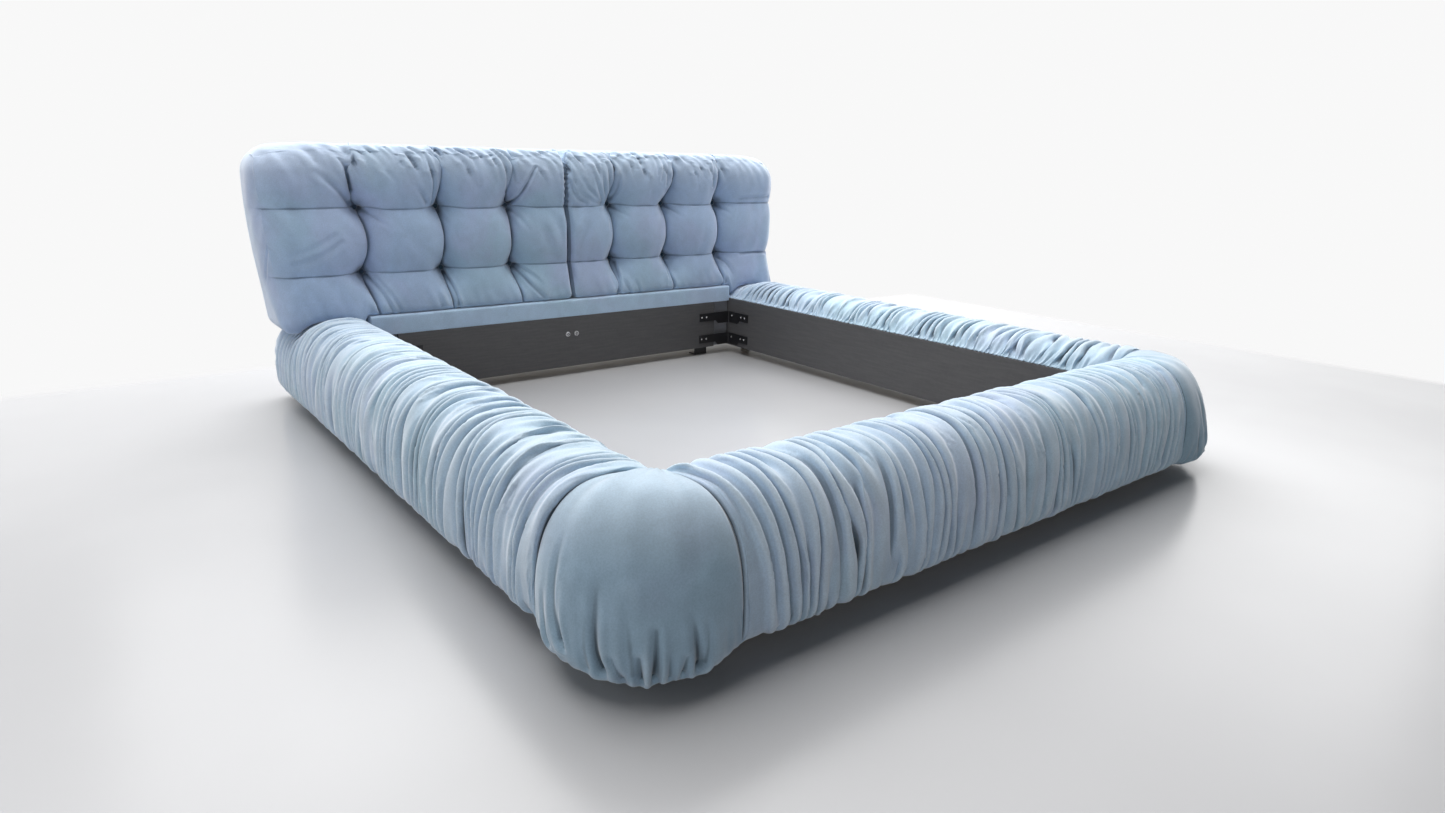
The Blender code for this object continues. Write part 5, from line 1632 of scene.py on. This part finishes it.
# Noises are rows (scale, detail, roughness, distortion, stretch along each axis), ranges are rows
# (from low, from high, to low, to high), and bumps are rows (strength, distance)
GRAIN_BAND = (0.3, 0.7)
CLOUDS = (1.7, 2.0, 0.5, 0.3)
CLOUD_RANGE = (0.36, 0.70, 0.0, 0.8)
DRIFTS = (3.1, 3.0, 0.5, 0.6)
DRIFT_RANGE = (0.46, 0.72, 0.0, 0.7)
MOTTLES = (16.0, 5.0, 0.6, 0.5)
MOTTLE_RANGE = (0.30, 0.72, 0.95, 1.05)
NAP = (260.0, 3.0, 0.6)
NAP_RANGE = (0.30, 0.70, 0.94, 1.06)
# Ridges lighter: rubbed wear and painted highlight
RIDGE_RUB_AND_HIGHLIGHT_RANGE = (0.001, 0.010, 0.0, 0.50)
# Valleys darker towards a deeper blue, in two steps: painted shade
SUNK_SHADE_RANGE = (-0.001, -0.011, 0.0, 0.68)
SUNK_SHADE_SHARE = 0.45
DEEP_SHADE_RANGE = (-0.010, -0.026, 0.0, 0.85)
DEEP_SHADE_SHARE = 0.14
NUBUCK_ROUGH_RANGE = (0.9, 1.1, 0.92, 0.80)
NUBUCK_SETTINGS = {
    "Specular IOR Level": 0.22,
    "Sheen Weight": 0.80,
    "Sheen Roughness": 0.45,
    "Sheen Tint": (0.96, 0.97, 1.0, 1),
}
NUBUCK_PORES = (420.0, 3.0, 0.7)
NUBUCK_LUMPS = (70.0, 4.0, 0.6)
NUBUCK_BUMP = (0.22, 0.0012)

# Colours of each leather: its blue, the two that drift over it, and the lighter one of its ridges, for rubbed
# wear and painted highlight, which its painted-light crown also uses
LEATHERS = {
    "roll_nubuck": ((0.47, 0.60, 0.745), (0.435, 0.602, 0.70), (0.515, 0.598, 0.765), (0.66, 0.765, 0.85)),
    # The corners' leather is a darker copy of the rolls' nubuck: painted shade on the front-facing corner
    # balls
    "shaded_corner_nubuck": ((0.305, 0.43, 0.545), (0.287, 0.433, 0.52), (0.33, 0.425, 0.56), (0.52, 0.65, 0.76)),
    "head_nubuck": ((0.38, 0.50, 0.695), (0.36, 0.518, 0.645), (0.415, 0.49, 0.695), (0.55, 0.66, 0.79)),
    "rail_nubuck": ((0.46, 0.60, 0.79), (0.44, 0.615, 0.75), (0.50, 0.59, 0.79), (0.62, 0.73, 0.85)),
    "rail_lining": ((0.215, 0.225, 0.245), (0.20, 0.215, 0.235), (0.225, 0.225, 0.25), (0.30, 0.31, 0.33)),
    "button_nubuck": ((0.02, 0.045, 0.07), (0.018, 0.048, 0.066), (0.026, 0.042, 0.074), (0.05, 0.08, 0.11)),
}

# Heights between which a leather is painted lighter towards its top, as painted light from above, and by how
# much
PAINTED_LIGHT_CROWNS = {"shaded_corner_nubuck": (0.24, 0.38, 0.70), "head_nubuck": (0.83, 0.99, 0.55)}


def nubuck(name):
    """Soft brushed leather: clouded colour, ridges lighter as rubbed wear and painted highlight, painted
    shade in the valleys, painted light towards a crown, fine nap.
    """
    blue, teal, lilac, rubbed_and_lit = LEATHERS[name]
    made = Nodes(name)
    colour = made.mix(made.ranged(made.noise(*CLOUDS), *CLOUD_RANGE), (*blue, 1), (*teal, 1))
    colour = made.mix(made.ranged(made.noise(*DRIFTS), *DRIFT_RANGE), colour, (*lilac, 1))
    mottle = made.ranged(made.noise(*MOTTLES), *MOTTLE_RANGE)
    nap = made.ranged(made.noise(*NAP), *NAP_RANGE)
    ridge = made.add("ShaderNodeAttribute", attribute_name="ridge").outputs["Fac"]
    # Ridges lighter: rubbed wear and painted highlight
    colour = made.mix(made.ranged(ridge, *RIDGE_RUB_AND_HIGHLIGHT_RANGE), colour, (*rubbed_and_lit, 1))
    # Painted light: lighter towards the top
    if name in PAINTED_LIGHT_CROWNS:
        low, high, share = PAINTED_LIGHT_CROWNS[name]
        height = made.add("ShaderNodeSeparateXYZ", {"Vector": made.place}).outputs["Z"]
        colour = made.mix(made.ranged(height, low, high, 0.0, share), colour, (*rubbed_and_lit, 1))
    # Painted shade in the valleys, creases and seams, in two steps
    for band, share in ((SUNK_SHADE_RANGE, SUNK_SHADE_SHARE), (DEEP_SHADE_RANGE, DEEP_SHADE_SHARE)):
        colour = made.mix(made.ranged(ridge, *band), colour, (*[share * part for part in blue], 1))
    tone = made.combine(mottle, nap, "MULTIPLY")
    grey = made.add("ShaderNodeCombineColor", {"Red": tone, "Green": tone, "Blue": tone}).outputs["Color"]
    made.set("Base Color", made.mix(1.0, colour, grey, "MULTIPLY"))
    made.set("Roughness", made.ranged(mottle, *NUBUCK_ROUGH_RANGE))
    for socket, value in NUBUCK_SETTINGS.items():
        made.set(socket, value)
    made.bump(made.combine(made.noise(*NUBUCK_PORES), made.noise(*NUBUCK_LUMPS), "ADD"), *NUBUCK_BUMP)
    return made.material


# Finishes of the frame's slots. Two colours follow the grain, and some have a third over them. The
# roughness names what it follows, and the bump has pores of its own or follows the grain
FINISHES = {
    "board": {
        "grain": (9.0, 5.0, 0.6, 0.2, (1.0, 1.0, 14.0)),
        "band": (0.35, 0.70),
        "colours": ((0.086, 0.085, 0.088, 1), (0.102, 0.100, 0.102, 1)),
        "over": ((60.0, 4.0, 0.6), (0.35, 0.75, 0.0, 0.25), (0.130, 0.130, 0.132, 1)),
        "rough": ("over", (0.0, 0.25, 0.42, 0.58)),
        "pores": (340.0, 3.0, 0.6),
        "bump": (0.08, 0.0006),
        "settings": {"Specular IOR Level": 0.35},
    },
    "timber": {
        "grain": (7.0, 6.0, 0.65, 0.9, (1.0, 0.12, 1.0)),
        "band": GRAIN_BAND,
        "colours": ((0.74, 0.64, 0.50, 1), (0.60, 0.49, 0.36, 1)),
        "over": ((90.0, 3.0, 0.6, 0.0, (1.0, 0.06, 1.0)), (0.55, 0.75, 0.0, 0.35), (0.46, 0.36, 0.25, 1)),
        "rough": ("grain", (*GRAIN_BAND, 0.62, 0.78)),
        "bump": (0.15, 0.001),
    },
    "foam": {
        "grain": (180.0, 4.0, 0.7),
        "band": (0.35, 0.70),
        "colours": ((0.80, 0.76, 0.62, 1), (0.66, 0.60, 0.45, 1)),
        "rough": ("grain", (*GRAIN_BAND, 0.90, 0.98)),
        "bump": (0.4, 0.002),
    },
    "black_steel": {
        "grain": (14.0, 4.0, 0.6),
        "band": (0.55, 0.75, 0.0, 0.4),
        "colours": ((0.014, 0.014, 0.016, 1), (0.030, 0.030, 0.033, 1)),
        "rough": ("share", (0.0, 0.4, 0.34, 0.50)),
        "pores": (520.0, 2.0, 0.5),
        "bump": (0.12, 0.0004),
        "settings": {"Specular IOR Level": 0.5},
    },
    "bright_steel": {
        "grain": (120.0, 4.0, 0.6, 0.0, (1.0, 1.0, 0.2)),
        "band": GRAIN_BAND,
        "colours": ((0.50, 0.50, 0.51, 1), (0.66, 0.66, 0.67, 1)),
        "rough": ("grain", (*GRAIN_BAND, 0.25, 0.42)),
        "bump": (0.06, 0.0003),
        "settings": {"Metallic": 1.0},
    },
    "plastic": {
        "grain": (300.0, 3.0, 0.6),
        "band": (0.35, 0.70),
        "colours": ((0.022, 0.022, 0.024, 1), (0.034, 0.034, 0.036, 1)),
        "rough": ("grain", (*GRAIN_BAND, 0.45, 0.60)),
        "bump": (0.1, 0.0005),
    },
}
FINISH_NAMES = {
    "board": "charcoal_laminate",
    "timber": "plywood",
    "foam": "upholstery_foam",
    "black_steel": "black_coated_steel",
    "bright_steel": "zinc_plate",
    "plastic": "moulded_black",
}


def finish(slot, name):
    """The material of a slot's finish."""
    row, made = FINISHES[slot], Nodes(name)
    values = {"grain": made.noise(*row["grain"])}
    values["share"] = made.ranged(values["grain"], *row["band"])
    colour = made.mix(values["share"], *row["colours"])
    if "over" in row:
        noise, band, third = row["over"]
        values["over"] = made.ranged(made.noise(*noise), *band)
        colour = made.mix(values["over"], colour, third)
    made.set("Base Color", colour)
    source, band = row["rough"]
    made.set("Roughness", made.ranged(values[source], *band))
    made.bump(made.noise(*row["pores"]) if "pores" in row else values["grain"], *row["bump"])
    for socket, value in row.get("settings", {}).items():
        made.set(socket, value)
    return made.material


def finish_frame(finishes):
    """Gives each CAD node that stays its material, by the slot that the record names for it."""
    slots = {part["node"]: part["material_slot"] for part in frame["record"]["subparts"]}
    for node, found in frame["nodes"].items():
        material = finishes.get(slots[node])
        if material is None:
            continue
        if not found.data.materials:
            found.data.materials.append(material)
        for index in range(len(found.data.materials)):
            found.material_slots[index].material = material


# Room, lights and camera

CAMERA_PLACE = Vector((-1.9073, -2.4809, 0.9868))
CAMERA_TURN = math.radians(38.67)
CAMERA_PITCH = math.radians(16.11)
CAMERA_ROLL = math.radians(1.40)
CAMERA_LENS = 21.10
CAMERA_SENSOR = 36

# The floor turns to white beyond the two walls of the room, and far from the bed's middle
FLOOR_SIZE = 60
WALL_Y = (1.84, 1.96)
WALL_X = (3.44, 3.58)
FLOOR_FADE = (4.7, 8.0)
FLOOR_CLOUDS = (0.8, 3.0, 0.5)
FLOOR_DARK = (0.45, 0.45, 0.46, 1)
FLOOR_LIGHT = (0.49, 0.49, 0.50, 1)
FLOOR_ROUGHNESS = 0.24
FLOOR_SPECULAR = 0.3
BACKDROP = (0.94, 0.94, 0.94, 1)
SKY = (0.93, 0.95, 1.0, 1)
SKY_STRENGTH = 0.03

# Lamps are rows (name, place, point that it faces, width and height, power, whether it shows in the floor)
LAMPS = (
    ("ceiling", (1.0, 3.0, 5.5), (1.0, 2.9, 0.0), (10.0, 9.0), 867, True),
    ("back_wall", (0.8, 4.0, 4.0), (0.0, 0.5, 0.2), (6.0, 3.5), 203, True),
    ("right_wall", (5.0, 1.0, 2.6), (0.0, 0.2, 0.3), (5.0, 3.0), 100, True),
    ("near_window", (-5.0, -5.5, 1.8), (0.0, 0.6, 0.6), (3.0, 2.4), 50, False),
    ("left_wall", (-5.0, 0.3, 2.0), (0.0, 0.2, 0.3), (4.5, 2.6), 32, True),
)


def blend_shaders(tree, share, near, far, output):
    blend = tree.nodes.new("ShaderNodeMixShader")
    tree.links.new(share, blend.inputs["Fac"])
    tree.links.new(near, blend.inputs[1])
    tree.links.new(far, blend.inputs[2])
    tree.links.new(blend.outputs["Shader"], tree.nodes[output].inputs["Surface"])


def seen_or_mirrored(tree):
    """One for rays that come from the eye or off a glossy surface."""
    path, seen = tree.nodes.new("ShaderNodeLightPath"), tree.nodes.new("ShaderNodeMath")
    seen.operation = "MAXIMUM"
    tree.links.new(path.outputs["Is Camera Ray"], seen.inputs[0])
    tree.links.new(path.outputs["Is Glossy Ray"], seen.inputs[1])
    return seen.outputs[0]


def studio_floor():
    """A pale, slightly glossy floor that turns to white where the room's walls would stand."""
    bpy.ops.mesh.primitive_plane_add(size=FLOOR_SIZE)
    floor = bpy.context.object
    floor.name = "floor"
    made = Nodes("floor")
    split = made.add("ShaderNodeSeparateXYZ", {"Vector": made.place}).outputs
    beyond = made.combine(made.ranged(split["Y"], *WALL_Y), made.ranged(split["X"], *WALL_X), "MAXIMUM")
    flat = made.add("ShaderNodeCombineXYZ", {"X": split["X"], "Y": split["Y"]}).outputs["Vector"]
    away = made.add("ShaderNodeVectorMath", {0: flat}, operation="LENGTH").outputs["Value"]
    beyond = made.combine(beyond, made.ranged(away, *FLOOR_FADE), "MAXIMUM")
    beyond = made.combine(beyond, seen_or_mirrored(made.tree), "MULTIPLY")
    clouds = made.ranged(made.noise(*FLOOR_CLOUDS), *GRAIN_BAND)
    made.set("Base Color", made.mix(clouds, FLOOR_DARK, FLOOR_LIGHT))
    made.set("Roughness", FLOOR_ROUGHNESS)
    made.set("Specular IOR Level", FLOOR_SPECULAR)
    white = made.add("ShaderNodeEmission", {"Color": BACKDROP, "Strength": 1.0}).outputs["Emission"]
    blend_shaders(made.tree, beyond, made.shader.outputs["BSDF"], white, "Material Output")
    floor.data.materials.append(made.material)


def area_light(name, place, aim, size, power, mirrored):
    light = bpy.data.lights.new(name, "AREA")
    light.shape = "RECTANGLE"
    light.size, light.size_y = size
    light.energy = power
    lamp = bpy.data.objects.new(name, light)
    lamp.location = place
    lamp.rotation_mode = "QUATERNION"
    lamp.rotation_quaternion = (Vector(aim) - Vector(place)).to_track_quat("-Z", "Y")
    lamp.visible_camera = False
    lamp.visible_glossy = mirrored
    bpy.context.scene.collection.objects.link(lamp)


def studio_lights():
    """Soft lamps in a dim room, which shows white behind the bed and in its mirror images."""
    world = bpy.data.worlds.new("studio")
    world.use_nodes = True
    bpy.context.scene.world = world
    tree = world.node_tree
    dim, white = tree.nodes["Background"], tree.nodes.new("ShaderNodeBackground")
    for ground, colour, strength in ((dim, SKY, SKY_STRENGTH), (white, BACKDROP, 1.0)):
        ground.inputs["Color"].default_value = colour
        ground.inputs["Strength"].default_value = strength
    shares = seen_or_mirrored(tree), dim.outputs["Background"], white.outputs["Background"]
    blend_shaders(tree, *shares, "World Output")
    for lamp in LAMPS:
        area_light(*lamp)


def studio_camera():
    """A camera at the photograph's view."""
    turn, pitch, roll = CAMERA_TURN, CAMERA_PITCH, CAMERA_ROLL
    ahead = Vector((math.sin(turn) * math.cos(pitch), math.cos(turn) * math.cos(pitch), -math.sin(pitch)))
    level = Vector((math.cos(turn), -math.sin(turn), 0))
    above = level.cross(ahead)
    right = math.cos(roll) * level + math.sin(roll) * above
    up = -math.sin(roll) * level + math.cos(roll) * above
    camera = bpy.data.objects.new("camera", bpy.data.cameras.new("camera"))
    camera.data.lens = CAMERA_LENS
    camera.data.sensor_width = CAMERA_SENSOR
    rows = Matrix((right, up, -ahead)).transposed()
    camera.matrix_world = Matrix.Translation(CAMERA_PLACE) @ rows.to_4x4()
    bpy.context.scene.collection.objects.link(camera)
    bpy.context.scene.camera = camera
    bpy.context.scene.view_settings.view_transform = "Standard"


leather = {name: nubuck(name) for name in LEATHERS}

studio_camera()
studio_lights()
studio_floor()
finish_frame({slot: finish(slot, name) for slot, name in FINISH_NAMES.items()})
for side, sign in SIDES:
    side_roll(side, sign, leather["roll_nubuck"])
    corner_patch(side, sign, leather["shaded_corner_nubuck"])
    headboard_half(side, sign, leather["head_nubuck"])
foot_roll(leather["roll_nubuck"])
head_rail_band(leather["rail_nubuck"], leather["rail_lining"])
tuft_buttons(leather["button_nubuck"])
bracket_screws(finish("bright_steel", "screw_zinc"))
bolt_caps(finish("black_steel", "bolt_black"))
